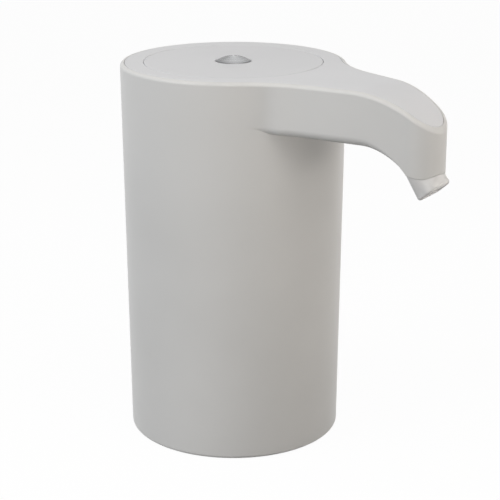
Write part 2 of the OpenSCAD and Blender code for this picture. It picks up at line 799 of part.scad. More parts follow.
// Inner cup: the socket's wall and floor, with a flange that closes the foot
module base_cup() {
  color(shell_white)
    difference() {
      rotate_extrude($fn = 180) polygon([[0, socket_depth], [cup_in_r, socket_depth], [cup_in_r, cup_z],
        [cup_flange_r, cup_z], [cup_flange_r, cup_z + cup_flange_h], [cup_r, cup_z + cup_flange_h],
        [cup_r, floor_top], [0, floor_top]]);
      rotate_extrude($fn = 180) translate([cup_in_r, bead_z]) circle(bead_r, $fn = 24);
      at_base_screws() translate([0, 0, socket_depth - 1]) cylinder(h = floor_t + 2, r = screw_r + push_gap);
      at_pump_screws() translate([0, 0, socket_depth - 1]) cylinder(h = floor_t + 2, r = screw_r + push_gap);
      translate([pump_x, port_y, socket_depth - 1]) cylinder(h = floor_t + 2, r = spigot_root_r + push_gap);
      translate([pump_x, port_y, floor_top - 2 * o_ring_r])
        cylinder(h = 2 * o_ring_r + 1, r = spigot_root_r + 2 * o_ring_r + push_gap);
      at_pegs() translate([0, 0, floor_top - peg_in - push_gap])
        cylinder(h = peg_in + 1, r = peg_r + seat_gap);
    }
}
module at_pegs() {
  for (s = [-1, 1])
    rotate(cell_turn) translate([cell_out, s * peg_out, 0]) children();
}

// Soft collar: lips that grip the neck, and a thick seat for the neck's mouth below the spigot
module neck_collar() {
  lip_line = [for (i = [0 : lips - 1]) each
    let (z = lip_z + i * lip_pitch, r = collar_bore_r, out = i < lips - 1 ? lip_groove : 0)
    [[r, z], [r, z + lip_h], [r + out, z + lip_h + out / 2],
      [r + out, z + max(lip_h, lip_pitch - out / 2) - (out > 0 ? 0 : eps)]]];
  bead = bead_r - push_gap;
  color(rubber)
    rotate_extrude($fn = 180) {
      polygon(concat(
        [[collar_hole_r, collar_top], [collar_hole_r, seat_z], [collar_bore_r, seat_z]],
        [for (i = [len(lip_line) - 3 : -1 : 0]) lip_line[i]],
        [[collar_bore_r + lead_in / 2, collar_z], [collar_r, collar_z]],
        arc([collar_r, bead_z], bead, -90, 90, 8),
        [[collar_r, collar_top]]));
    }
}

module base_screws() {
  color(steel)
    at_base_screws() translate([0, 0, socket_depth])
      screw(screw_r, base_screw_l, screw_head_r, screw_head_h - push_gap);
}

// Hose spigot of the intake, pressed into the pump's lid
module intake_spigot() {
  top = floor_top + spigot_in;
  low = socket_depth - spigot_l;
  bore = spigot_r - spigot_wall;
  edge = 0.8;
  color(nylon)
    translate([pump_x, port_y, 0])
      rotate_extrude() polygon([[bore, low], [spigot_r - edge, low], [spigot_r, low + edge],
        [spigot_r, socket_depth - spigot_root_l], [spigot_root_r, socket_depth - spigot_root_l],
        [spigot_root_r, top], [bore, top]]);
}
module spigot_o_ring() {
  color(black)
    translate([pump_x, port_y, floor_top - o_ring_r])
      rotate_extrude() translate([spigot_root_r + o_ring_r, 0]) circle(o_ring_r - seat_gap, $fn = 24);
}

// Gear pump: lid below, gasket, housing with the chamber, and its outlet barb
module pump_lid() {
  color(nylon)
    difference() {
      translate([pump_x, 0, floor_top]) linear_extrude(lid_t) pump_plan();
      at_pump_screws() translate([0, 0, floor_top - 1]) cylinder(h = lid_t + 2, r = screw_r + push_gap);
      translate([pump_x, port_y, floor_top - eps])
        cylinder(h = spigot_in + eps, r = spigot_root_r + seat_gap);
      translate([pump_x, port_y, floor_top]) cylinder(h = lid_t + 1, r = port_r);
      translate([driven_x, 0, lid_top - pin_in]) cylinder(h = pin_in + 1, r = pin_r + seat_gap);
    }
}
module pump_gasket() {
  color(black)
    translate([0, 0, lid_top])
      difference() {
        linear_extrude(gasket_t) translate([pump_x, 0]) pump_plan();
        translate([0, 0, -1]) linear_extrude(gasket_t + 2) chamber_plan();
        at_pump_screws() translate([0, 0, -1]) cylinder(h = gasket_t + 2, r = screw_r + push_gap);
      }
}
module pump_body() {
  color(nylon)
    difference() {
      union() {
        translate([pump_x, 0, pump_z]) linear_extrude(pump_top - pump_z) pump_plan();
        translate([pump_x, outlet_y - 1, outlet_z]) rotate([-90, 0, 0])
          cylinder(h = outlet_l + 1, r = barb_r);
      }
      translate([0, 0, pump_z - 1]) linear_extrude(chamber_top - pump_z + 1) chamber_plan();
      translate([pump_x, 0, outlet_z]) rotate([-90, 0, 0])
        cylinder(h = outlet_y + outlet_l + 1, r = outlet_bore_r - 0.4);
      translate([drive_x, 0, chamber_top - 1]) cylinder(h = pump_head_t + 2, r = shaft_r + 2 * push_gap);
      translate([drive_x, 0, seal_z]) cylinder(h = pump_head_t + 2, r = seal_r);
      translate([driven_x, 0, chamber_top - 1]) cylinder(h = pin_in + 1, r = pin_r + seat_gap);
      at_pump_screws() translate([0, 0, pump_z - 1])
        cylinder(h = pump_screw_in + 1.5, r = screw_r + seat_gap);
      at_motor_screws() {
        translate([0, 0, pump_z - 1]) cylinder(h = pump_top - pump_z + 2, r = motor_screw_r + push_gap);
        translate([0, 0, pump_z - 1])
          cylinder(h = motor_screw_seat - pump_z + 1, r = motor_screw_head_r + push_gap);
      }
    }
}
module idler_pin() {
  color(steel)
    translate([driven_x, 0, lid_top - pin_in])
      cylinder(h = chamber_top - lid_top + 2 * pin_in - 2 * seat_gap, r = pin_r);
}
module shaft_seal() {
  color(black)
    translate([drive_x, 0, seal_z]) pipe(seal_h, seal_r - seat_gap, shaft_r + running_gap);
}
module pump_screws() {
  color(steel)
    at_pump_screws() translate([0, 0, socket_depth])
      screw(screw_r, pump_z - socket_depth + pump_screw_in, screw_head_r, screw_head_h - push_gap);
}
module motor_screws() {
  color(steel)
    at_motor_screws() translate([0, 0, motor_screw_seat])
      screw(motor_screw_r, motor_screw_l, motor_screw_head_r, motor_screw_head_h);
}

// Motor: can with a boss for the front bush, two magnets, end cap with brushes and terminals
module motor_can() {
  color(steel)
    translate([drive_x, 0, 0])
      difference() {
        union() {
          translate([0, 0, pump_top]) cylinder(h = motor_l, r = motor_r);
          translate([0, 0, pump_top - boss_h]) cylinder(h = boss_h + eps, r = boss_r);
        }
        translate([0, 0, pump_top + can_wall + 0.6]) cylinder(h = motor_l, r = can_in_r);
        translate([0, 0, pump_top - boss_h - 1]) cylinder(h = bush_h + 3, r = bush_r + seat_gap);
        for (s = [-1, 1])
          translate([0, s * motor_screw_pitch / 2, pump_top - 1])
            cylinder(h = 4, r = motor_screw_r + seat_gap);
      }
}
module motor_magnets() {
  half_gap = 4;
  color(black)
    translate([drive_x, 0, core_z])
      difference() {
        pipe(core_l, can_in_r - seat_gap, magnet_in_r);
        translate([-half_gap, -motor_r, -1]) cube([2 * half_gap, motor_d, core_l + 2]);
      }
}
module motor_end_cap() {
  color(black)
    translate([drive_x, 0, 0])
      difference() {
        union() {
          translate([0, 0, motor_top]) cylinder(h = cap_t, r = motor_r);
          translate([0, 0, motor_top - cap_plug_h])
            pipe(cap_plug_h + eps, can_in_r - seat_gap, can_in_r - 1.6);
          translate([0, 0, motor_top + cap_t - eps]) cylinder(h = cap_boss_h, r = boss_r);
        }
        translate([0, 0, motor_top - 1]) cylinder(h = cap_t + cap_boss_h + 2, r = bush_r + seat_gap);
        for (s = [-1, 1])
          translate([s * terminal_x, 0, motor_top]) terminal_slot();
      }
}
module terminal_slot() {
  grip = seat_gap;
  translate([-terminal_t / 2 - grip, -terminal_w / 2 - grip, -1])
    cube([terminal_t + 2 * grip, terminal_w + 2 * grip, cap_t + 2]);
}
module motor_brushes() {
  block = 2;
  color(brass)
    for (s = [-1, 1])
      translate([drive_x, 0, 0]) {
        translate([s * terminal_x - terminal_t / 2, -terminal_w / 2, motor_top - cap_plug_h])
          cube([terminal_t, terminal_w, cap_plug_h + cap_t + terminal_h]);
        scale_x(s) translate([commutator_r + push_gap, -block / 2, motor_top - cap_plug_h])
          cube([terminal_x - commutator_r - push_gap, block, block]);
      }
}
module scale_x(s) {
  mirror([s < 0 ? 1 : 0, 0, 0]) children();
}
module front_bush() {
  color(brass)
    translate([drive_x, 0, pump_top - boss_h]) pipe(bush_h, bush_r, shaft_r + running_gap);
}
module rear_bush() {
  color(brass)
    translate([drive_x, 0, motor_top + cap_t + cap_boss_h - bush_h])
      pipe(bush_h, bush_r, shaft_r + running_gap);
}

// Rotor: shaft, three-pole core with its coils, commutator and the first gear
module motor_shaft() {
  color(steel)
    translate([drive_x, 0, gear_z])
      cylinder(h = motor_top + cap_t + cap_boss_h + 0.4 - gear_z, r = shaft_r);
}
module wedge(r, half_angle) {
  polygon([[0, 0], 2 * r * [cos(half_angle), -sin(half_angle)], 2 * r * [cos(half_angle), sin(half_angle)]]);
}
module core_plan() {
  circle(hub_r);
  for (a = poles)
    rotate(a) {
      translate([0, -pole_w / 2]) square([core_r - shoe_t / 2, pole_w]);
      intersection() {
        difference() {
          circle(core_r);
          circle(core_r - shoe_t);
        }
        wedge(core_r, shoe_half);
      }
    }
}
module armature_core() {
  color(steel)
    translate([drive_x, 0, core_z])
      difference() {
        linear_extrude(core_l) core_plan();
        translate([0, 0, -1]) cylinder(h = core_l + 2, r = shaft_r + seat_gap);
      }
}
module coil_plan(opening) {
  difference() {
    intersection() {
      difference() {
        circle(core_r - shoe_t - push_gap);
        circle(hub_r + push_gap);
      }
      wedge(core_r, coil_half);
    }
    if (opening > 0)
      translate([0, -opening / 2]) square([core_r, opening]);
  }
}
module armature_windings() {
  grip = pole_w + 2 * seat_gap;
  color(copper)
    translate([drive_x, 0, core_z])
      for (a = poles)
        rotate(a) {
          translate([0, 0, -coil_end]) linear_extrude(coil_end - seat_gap) coil_plan(0);
          translate([0, 0, -seat_gap - eps])
            linear_extrude(core_l + 2 * seat_gap + 2 * eps) coil_plan(grip);
          translate([0, 0, core_l + seat_gap]) linear_extrude(coil_end - seat_gap) coil_plan(0);
        }
}
module commutator() {
  slot = 0.4;
  slot_in = 0.7;
  color(copper)
    translate([drive_x, 0, commutator_z])
      difference() {
        pipe(commutator_h, commutator_r, shaft_r + seat_gap);
        for (a = poles)
          rotate(a + 60) translate([commutator_r - slot_in, -slot / 2, -1])
            cube([slot_in + 1, slot, commutator_h + 2]);
      }
}
module drive_gear() {
  color(nylon)
    translate([drive_x, 0, gear_z]) gear(shaft_r + seat_gap);
}
module driven_gear() {
  color(nylon)
    translate([driven_x, 0, gear_z]) rotate(180 / teeth) gear(pin_r + running_gap);
}

// Hose from the pump's outlet up and along the arm to the nozzle
module outlet_hose() {
  color(rubber)
    tube(curve(hose_route, 3), hose_r, hose_bore_r, hose_sides, [0, 0, 1]);
}

// Battery
module battery_cell() {
  edge = 0.8;
  cap_r = 3;
  cap_h = 0.5;
  color(cell_blue)
    translate([cell_c.x, cell_c.y, cell_z])
      rotate_extrude() polygon([[0, 0], [cell_r - edge, 0], [cell_r, edge], [cell_r, cell_l - edge - cap_h],
        [cell_r - edge, cell_l - cap_h], [cap_r, cell_l - cap_h], [cap_r, cell_l], [0, cell_l]]);
}
module battery_cradle() {
  mouth = 62;
  color(shell_white) {
    translate([cell_c.x, cell_c.y, floor_top])
      rotate(cell_turn) {
        cylinder(h = cradle_floor, r = cradle_r);
        linear_extrude(cradle_h)
          difference() {
            circle(cradle_r);
            circle(cell_r + cradle_gap);
            wedge(cradle_r, mouth);
          }
      }
    at_pegs() translate([0, 0, floor_top - peg_in]) cylinder(h = peg_in + eps, r = peg_r);
  }
}
module battery_leads() {
  for (s = [-1, 1]) {
    side = [0, s * lead_step / 2];
    from = [cell_c.x, cell_c.y] + side;
    to = cell_lead_pad + side;
    stops = [[from, cell_top + seat_gap], [from, cell_top + lead_up], [from, cell_top + 2 * lead_up],
      [(2 * from + to) / 3, lead_level - lead_up], [(from + 4 * to) / 5, lead_level],
      [to, board_top + 2 * lead_up], [to, board_top + lead_up], [to, board_top + seat_gap]];
    color(s < 0 ? black : lead_red)
      tube(curve([for (q = stops) [q[0].x, q[0].y, q[1]]], 3), lead_r, 0, lead_sides, [0, 1, 0]);
  }
}
module motor_leads() {
  lead_y = terminal_w / 2 + lead_r + seat_gap;
  tip_z = motor_top + cap_t + terminal_h;
  grip = 3;
  for (s = [-1, 1]) {
    from = [drive_x + s * terminal_x, lead_y];
    to = [drive_x + s * terminal_x / 2, lead_y];
    stops = [[from, tip_z - grip], [from, tip_z], [from, tip_z + grip], [to, board_z - 2 * grip],
      [to, board_z - grip], [to, board_z - seat_gap]];
    color(s < 0 ? black : lead_red)
      tube(curve([for (q = stops) [q[0].x, q[0].y, q[1]]], 3), lead_r, 0, lead_sides, [0, 1, 0]);
  }
}

// Control board with its parts, the push switch and the charging socket
module control_board() {
  color(board_green)
    translate([0, 0, board_z])
      difference() {
        linear_extrude(board_t)
          intersection() {
            translate([board_back, -board_w / 2]) square([board_front - board_back, board_w]);
            circle(board_round_r);
          }
        at_posts() translate([0, 0, -1]) cylinder(h = board_t + 2, r = post_screw_r + push_gap);
      }
}
module board_parts() {
  chip = [5, 4, 1.6];
  chip_at = [-16, -3, 0];
  coil_r = 3;
  coil_h = 3.4;
  coil_at = [-13, 8, 0];
  can_r = 2;
  can_h = 5.5;
  can_at = [-9, -10, 0];
  tiny = [0.8, 1.6, 0.6];
  tiny_at = [-6, -5, 0];
  tiny_step = [0, 3.2, 0];
  color(black)
    translate([0, 0, board_top + seat_gap]) {
      translate(chip_at) cube(chip);
      translate(coil_at) cylinder(h = coil_h, r = coil_r);
      translate(can_at) cylinder(h = can_h, r = can_r);
      for (i = [0 : 3])
        translate(tiny_at + i * tiny_step) cube(tiny);
    }
}
module switch_body() {
  pin_w = 0.8;
  color(black)
    translate([0, 0, board_top + seat_gap])
      difference() {
        translate([-switch_w / 2, -switch_w / 2, 0])
          cube([switch_w, switch_w, switch_top - board_top - seat_gap]);
        translate([0, 0, switch_top - board_top - plunger_in - button_travel - 0.4])
          cylinder(h = plunger_in + button_travel + 2, r = plunger_r + push_gap / 2);
        for (a = [0 : 90 : 270])
          rotate(a + 45) translate([switch_w / 2 * sqrt(2) - pin_w, -pin_w, -1])
            cube([2, 2 * pin_w, switch_w * 2]);
      }
}
module switch_plunger() {
  color(nylon)
    translate([0, 0, switch_top - plunger_in]) cylinder(h = plunger_in + plunger_show, r = plunger_r);
}
module usb_socket() {
  skin = 0.35;
  tongue = [5.2, 6.4, 0.7];
  r = usb_h / 2 - seat_gap;
  half = usb_w / 2 - usb_h / 2;
  color(steel)
    translate([usb_mouth, 0, usb_z]) {
      difference() {
        rotate([90, 0, 90]) linear_extrude(usb_l) socket_plan(half, r);
        rotate([90, 0, 90]) translate([0, 0, -1]) linear_extrude(usb_l) socket_plan(half, r - skin);
      }
      translate([0.6, -tongue.y / 2, -tongue.z / 2]) cube([usb_l - 0.8, tongue.y, tongue.z]);
    }
}
module socket_plan(half, r) {
  square([2 * half, 2 * r], center = true);
  for (s = [-1, 1])
    translate([s * half, 0]) circle(r);
}
module board_screws() {
  color(steel)
    at_posts() translate([0, 0, board_z])
      screw(post_screw_r, board_screw_l, post_screw_r * 1.9, 1.4);
}

// Domed metal cap of the button, and the stem under it that reaches the switch
module power_button() {
  dome_in = dome_r - cap_wall;
  skirt_in = button_r - cap_wall;
  in_half = asin(skirt_in / dome_in);
  color(steel)
    translate([0, 0, cover_top])
      rotate_extrude($fn = 96) polygon(concat(
        [[button_r, -cap_skirt]],
        arc([0, button_rise - dome_r], dome_r, 90 - dome_half, 90, 10),
        [for (p = arc([0, button_rise - dome_r], dome_in, 90, 90 - in_half, 10)) p],
        [[skirt_in, -cap_skirt]]));
}
module button_stem() {
  dome_in = dome_r - cap_wall - seat_gap;
  in_half = asin(stem_r / dome_in);
  flange_z = stem_flange_top - stem_flange_h;
  dome_c = [0, cover_top + button_rise - dome_r];
  color(nylon)
    rotate_extrude($fn = 96) polygon(concat(
      [[0, stem_bottom], [stem_rod_r, stem_bottom], [stem_rod_r, flange_z], [stem_flange_r, flange_z],
        [stem_flange_r, stem_flange_top], [stem_r, stem_flange_top]],
      arc(dome_c, dome_in, 90 - in_half, 90, 8)));
}

body_shell();
top_cover();
top_panel();
spout_nozzle();
base_cup();
neck_collar();
base_screws();
intake_spigot();
spigot_o_ring();
pump_lid();
pump_gasket();
pump_body();
idler_pin();
shaft_seal();
pump_screws();
motor_can();
motor_magnets();
motor_end_cap();
motor_brushes();
front_bush();
rear_bush();
motor_screws();
motor_shaft();
armature_core();
armature_windings();
commutator();
drive_gear();
driven_gear();
outlet_hose();
battery_cell();
battery_cradle();
battery_leads();
motor_leads();
control_board();
board_parts();
switch_body();
switch_plunger();
usb_socket();
board_screws();
power_button();
button_stem();
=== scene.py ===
import json
import math
import bpy
import bmesh
from mathutils import Matrix, Vector
from mathutils.geometry import interpolate_bezier


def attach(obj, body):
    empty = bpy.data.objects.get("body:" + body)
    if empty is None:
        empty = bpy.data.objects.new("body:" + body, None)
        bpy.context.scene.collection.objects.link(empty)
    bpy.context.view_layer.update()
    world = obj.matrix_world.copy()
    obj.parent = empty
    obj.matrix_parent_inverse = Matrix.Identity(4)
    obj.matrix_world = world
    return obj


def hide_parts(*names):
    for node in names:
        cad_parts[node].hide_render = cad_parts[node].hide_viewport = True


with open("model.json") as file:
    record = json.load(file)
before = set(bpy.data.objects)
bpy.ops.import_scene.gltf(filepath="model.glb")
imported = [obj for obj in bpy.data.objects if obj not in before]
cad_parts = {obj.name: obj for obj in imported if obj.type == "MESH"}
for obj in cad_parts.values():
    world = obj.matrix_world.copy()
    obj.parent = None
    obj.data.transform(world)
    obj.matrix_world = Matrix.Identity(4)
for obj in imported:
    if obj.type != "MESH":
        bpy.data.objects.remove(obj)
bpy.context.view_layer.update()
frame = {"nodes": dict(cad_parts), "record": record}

mm = 0.001
nodes = frame["nodes"]
scene = bpy.context.scene
print("frame loaded:", len(nodes), "nodes")


# colours and nodes

def toLinear(hexText):
    parts = [int(hexText[i:i + 2], 16) / 255 for i in (1, 3, 5)]
    return [c / 12.92 if c <= 0.04045 else ((c + 0.055) / 1.055) ** 2.4 for c in parts] + [1.0]


def addNode(tree, kind, settings=None, links=None):
    made = tree.nodes.new(kind)
    for key, value in (settings or {}).items():
        if key == "stops":
            for stop, (place, colour) in zip(made.color_ramp.elements, value):
                stop.position, stop.color = place, colour
        elif isinstance(key, int) or key in made.inputs:
            made.inputs[key].default_value = value
        else:
            setattr(made, key, value)
    for key, source in (links or {}).items():
        tree.links.new(source, made.inputs[key])
    return made


def newMaterial(name):
    material = bpy.data.materials.new(name)
    material.use_nodes = True
    tree = material.node_tree
    tree.nodes.clear()
    shader = addNode(tree, "ShaderNodeBsdfPrincipled")
    addNode(tree, "ShaderNodeOutputMaterial", links={"Surface": shader.outputs["BSDF"]})
    spot = addNode(tree, "ShaderNodeTexCoord").outputs["Object"]
    return material, tree, shader, spot


def patternScale(sizeInMm):
    return 1.0 / (sizeInMm * mm)  # noise features come out about this big on Object coordinates


def grey(value):
    return (value, value, value, 1.0)


def toneRamp(look):
    return list(zip(look["toneStops"], (toLinear(look["dark"]), toLinear(look["light"]))))


# moulded pieces: a colour that drifts a little, a fine grain and some handling marks
def mouldedLook(name, look):
    material, tree, shader, spot = newMaterial(name)
    drift = addNode(tree, "ShaderNodeTexNoise",
                    {"Scale": patternScale(look["driftMm"]), "Detail": 3.0}, {"Vector": spot})
    tone = addNode(tree, "ShaderNodeValToRGB", {"stops": toneRamp(look)}, {"Fac": drift.outputs["Fac"]})
    marks = addNode(tree, "ShaderNodeTexNoise",
                    {"Scale": patternScale(look["markMm"]), "Detail": 6.0, "Roughness": 0.7},
                    {"Vector": spot})
    where = addNode(tree, "ShaderNodeValToRGB",
                    {"stops": [(look["markFrom"], grey(0.0)),
                               (look["markFrom"] + look["markBlend"], grey(1.0))]},
                    {"Fac": marks.outputs["Fac"]})
    amount = addNode(tree, "ShaderNodeMath", {"operation": "MULTIPLY", 1: look["markAmount"]},
                     {0: where.outputs["Color"]})
    soiled = addNode(tree, "ShaderNodeMix", {"data_type": "RGBA", 7: toLinear(look["mark"])},
                     {"Factor": amount.outputs["Value"], 6: tone.outputs["Color"]})
    tree.links.new(soiled.outputs[2], shader.inputs["Base Color"])
    gloss = addNode(tree, "ShaderNodeMapRange",
                    {"To Min": look["roughLow"], "To Max": look["roughHigh"]},
                    {"Value": drift.outputs["Fac"]})
    tree.links.new(gloss.outputs["Result"], shader.inputs["Roughness"])
    grain = addNode(tree, "ShaderNodeTexNoise",
                    {"Scale": patternScale(look["grainMm"]), "Detail": 2.0}, {"Vector": spot})
    bump = addNode(tree, "ShaderNodeBump",
                   {"Strength": look["grainStrength"], "Distance": look["grainDeepMm"] * mm},
                   {"Height": grain.outputs["Fac"]})
    tree.links.new(bump.outputs["Normal"], shader.inputs["Normal"])
    shader.inputs["IOR"].default_value = look["ior"]
    for key, value in look["shader"].items():
        shader.inputs[key].default_value = value
    return material


# ABS, injection moulded in a finely spark-eroded tool: satin, with soft broad reflections
# the real grain is 0.1 mm, drawn coarser here to show
housingLook = dict(dark="#d3d3d1", light="#dadad8", toneStops=(0.32, 0.68), mark="#b9b2a2", driftMm=60,
                   markMm=9, markFrom=0.69, markBlend=0.1, markAmount=0.12, roughLow=0.30,
                   roughHigh=0.38, grainMm=0.5, grainStrength=0.05, grainDeepMm=0.05, ior=1.53,
                   shader={"Specular IOR Level": 0.12})
# the same plastic in the two top plates: a shade cooler and a little more matt
coverLook = dict(housingLook, dark="#d7d8da", light="#dcdddf", roughLow=0.33, roughHigh=0.42)
panelLook = dict(housingLook, dark="#d6d7d9", light="#dbdcde", roughLow=0.36, roughHigh=0.44)
# silicone, compression moulded: matt, light goes a little way in
nozzleLook = dict(dark="#d8d8d7", light="#dfdfde", toneStops=(0.32, 0.68), mark="#b4b0a6", driftMm=6,
                  markMm=3, markFrom=0.66, markBlend=0.1, markAmount=0.2, roughLow=0.42, roughHigh=0.52,
                  grainMm=0.35, grainStrength=0.06, grainDeepMm=0.04, ior=1.41,
                  shader={"Subsurface Weight": 0.15, "Subsurface Scale": 0.0015,
                          "Subsurface Radius": (1, 1, 1)})
collarLook = dict(nozzleLook, dark="#bfc1c2", light="#c9cbcc", driftMm=14)
# silicone, extruded: smoother and milky
hoseLook = dict(nozzleLook, dark="#cfd6da", light="#dbe2e6", roughLow=0.2, roughHigh=0.3,
                shader={"Subsurface Weight": 0.3, "Subsurface Scale": 0.002,
                        "Subsurface Radius": (1, 1, 1)})
# nylon, moulded: cream, waxy
nylonLook = dict(housingLook, dark="#dad6c6", light="#e4e1d4", driftMm=9, markMm=4,
                 roughLow=0.4, roughHigh=0.5)
# nitrile rubber, moulded: black, matt
nitrileLook = dict(nozzleLook, dark="#141415", light="#1f1f20", mark="#3a3936", ior=1.52, shader={})
# filled black plastic of the motor, switch and board parts: duller, with a finer grain
blackLook = dict(nitrileLook, roughLow=0.45, roughHigh=0.6, grainMm=0.2)
# shrink film over a cell, and the extruded sheath of the leads: smooth and glossy
filmLook = dict(housingLook, dark="#28589c", light="#2f66b0", mark="#1d3f70", driftMm=12, markMm=5,
                roughLow=0.16, roughHigh=0.24)
sheathLook = dict(filmLook, dark="#7a1a18", light="#8c211d", mark="#431010", driftMm=5)
# glass laminate under green solder mask: glossy, with the weave just felt
laminateLook = dict(filmLook, dark="#17532f", light="#1d6438", mark="#0e3a20", grainMm=0.6,
                    grainStrength=0.15)

materials = {
    "housing_plastic": mouldedLook("moulded ABS, satin white", housingLook),
    "cover_plastic": mouldedLook("moulded ABS, cover", coverLook),
    "panel_plastic": mouldedLook("moulded ABS, inlay", panelLook),
    "silicone": mouldedLook("moulded silicone, outlet", nozzleLook),
    "collar_rubber": mouldedLook("moulded silicone, collar", collarLook),
    "clear_hose": mouldedLook("extruded silicone hose", hoseLook),
    "nylon": mouldedLook("moulded nylon", nylonLook),
    "nitrile": mouldedLook("moulded nitrile rubber", nitrileLook),
    "black_plastic": mouldedLook("moulded black plastic", blackLook),
    "cell_sleeve": mouldedLook("shrink film, blue", filmLook),
    "lead_sheath": mouldedLook("extruded lead sheath", sheathLook),
    "board_laminate": mouldedLook("glass laminate, green mask", laminateLook),
}


# worked metals: clouds, or stripes stacked along Z, in colour, gloss and bump
def metalLook(name, look):
    material, tree, shader, spot = newMaterial(name)
    stretch = addNode(tree, "ShaderNodeMapping", {"Scale": look["stretch"]}, {"Vector": spot})
    streak = addNode(tree, "ShaderNodeTexNoise",
                     {"Scale": patternScale(look["streakMm"]), "Detail": 4.0},
                     {"Vector": stretch.outputs["Vector"]})
    tone = addNode(tree, "ShaderNodeValToRGB", {"stops": toneRamp(look)}, {"Fac": streak.outputs["Fac"]})
    tree.links.new(tone.outputs["Color"], shader.inputs["Base Color"])
    gloss = addNode(tree, "ShaderNodeMapRange",
                    {"To Min": look["roughLow"], "To Max": look["roughHigh"]},
                    {"Value": streak.outputs["Fac"]})
    tree.links.new(gloss.outputs["Result"], shader.inputs["Roughness"])
    bump = addNode(tree, "ShaderNodeBump",
                   {"Strength": look["bump"], "Distance": look["bumpMm"] * mm},
                   {"Height": streak.outputs["Fac"]})
    tree.links.new(bump.outputs["Normal"], shader.inputs["Normal"])
    shader.inputs["Metallic"].default_value = look.get("metallic", 1.0)
    return material


# steel, zinc plated: bright grey, faintly clouded
zincLook = dict(dark="#a9abae", light="#c3c5c8", toneStops=(0.3, 0.7), streakMm=2.5, stretch=(1, 1, 1),
                roughLow=0.28, roughHigh=0.4, bump=0.1, bumpMm=0.02)
# steel, ground round its axis: sharper gloss, with fine rings
groundLook = dict(zincLook, dark="#b4b6b9", light="#cdcfd2", streakMm=0.8, stretch=(1, 1, 6),
                  roughLow=0.18, roughHigh=0.28)
# core steel, a stack of stamped sheets, 0.5 mm each: dark, striped across the axis
coreLook = dict(zincLook, dark="#6c6d70", light="#85868a", streakMm=0.5, stretch=(0.05, 0.05, 1),
                roughLow=0.4, roughHigh=0.55, bump=0.4)
# ferrite, sintered: charcoal, dull
ferriteLook = dict(zincLook, dark="#232426", light="#303134", streakMm=0.6, roughLow=0.6, roughHigh=0.75,
                   metallic=0.0)
# brass, stamped: warm yellow, softly clouded
brassLook = dict(zincLook, dark="#b89552", light="#d0b06c", streakMm=1.2)
# copper wire, enamelled, 0.45 mm thick: red brown, ribbed
copperLook = dict(zincLook, dark="#93512c", light="#c47a48", streakMm=0.45, stretch=(0.08, 0.08, 1),
                  roughLow=0.25, roughHigh=0.35, bump=0.6)
materials.update({
    "zinc_steel": metalLook("zinc plated steel", zincLook),
    "ground_steel": metalLook("ground steel", groundLook),
    "core_steel": metalLook("stamped core steel", coreLook),
    "ferrite": metalLook("sintered ferrite", ferriteLook),
    "brass": metalLook("stamped brass", brassLook),
    "copper": metalLook("enamelled copper", copperLook),
})

# stainless steel, spun and brushed in circles: a bow-tie highlight that turns about the middle, also
# painted into the colour
# the edge colour and its span are painted shade round the dome's rim
buttonLook = dict(dark="#a2a3a4", light="#d2d3d4", toneStops=(0.25, 0.75), edge="#6a6b6d",
                  rimShadeMm=(5.2, 5.95), ringMm=0.22, fanDark=0.5, fanDeg=-38.0, roughLow=0.2,
                  roughHigh=0.34, anisotropy=0.85, bump=0.15, bumpMm=0.02)


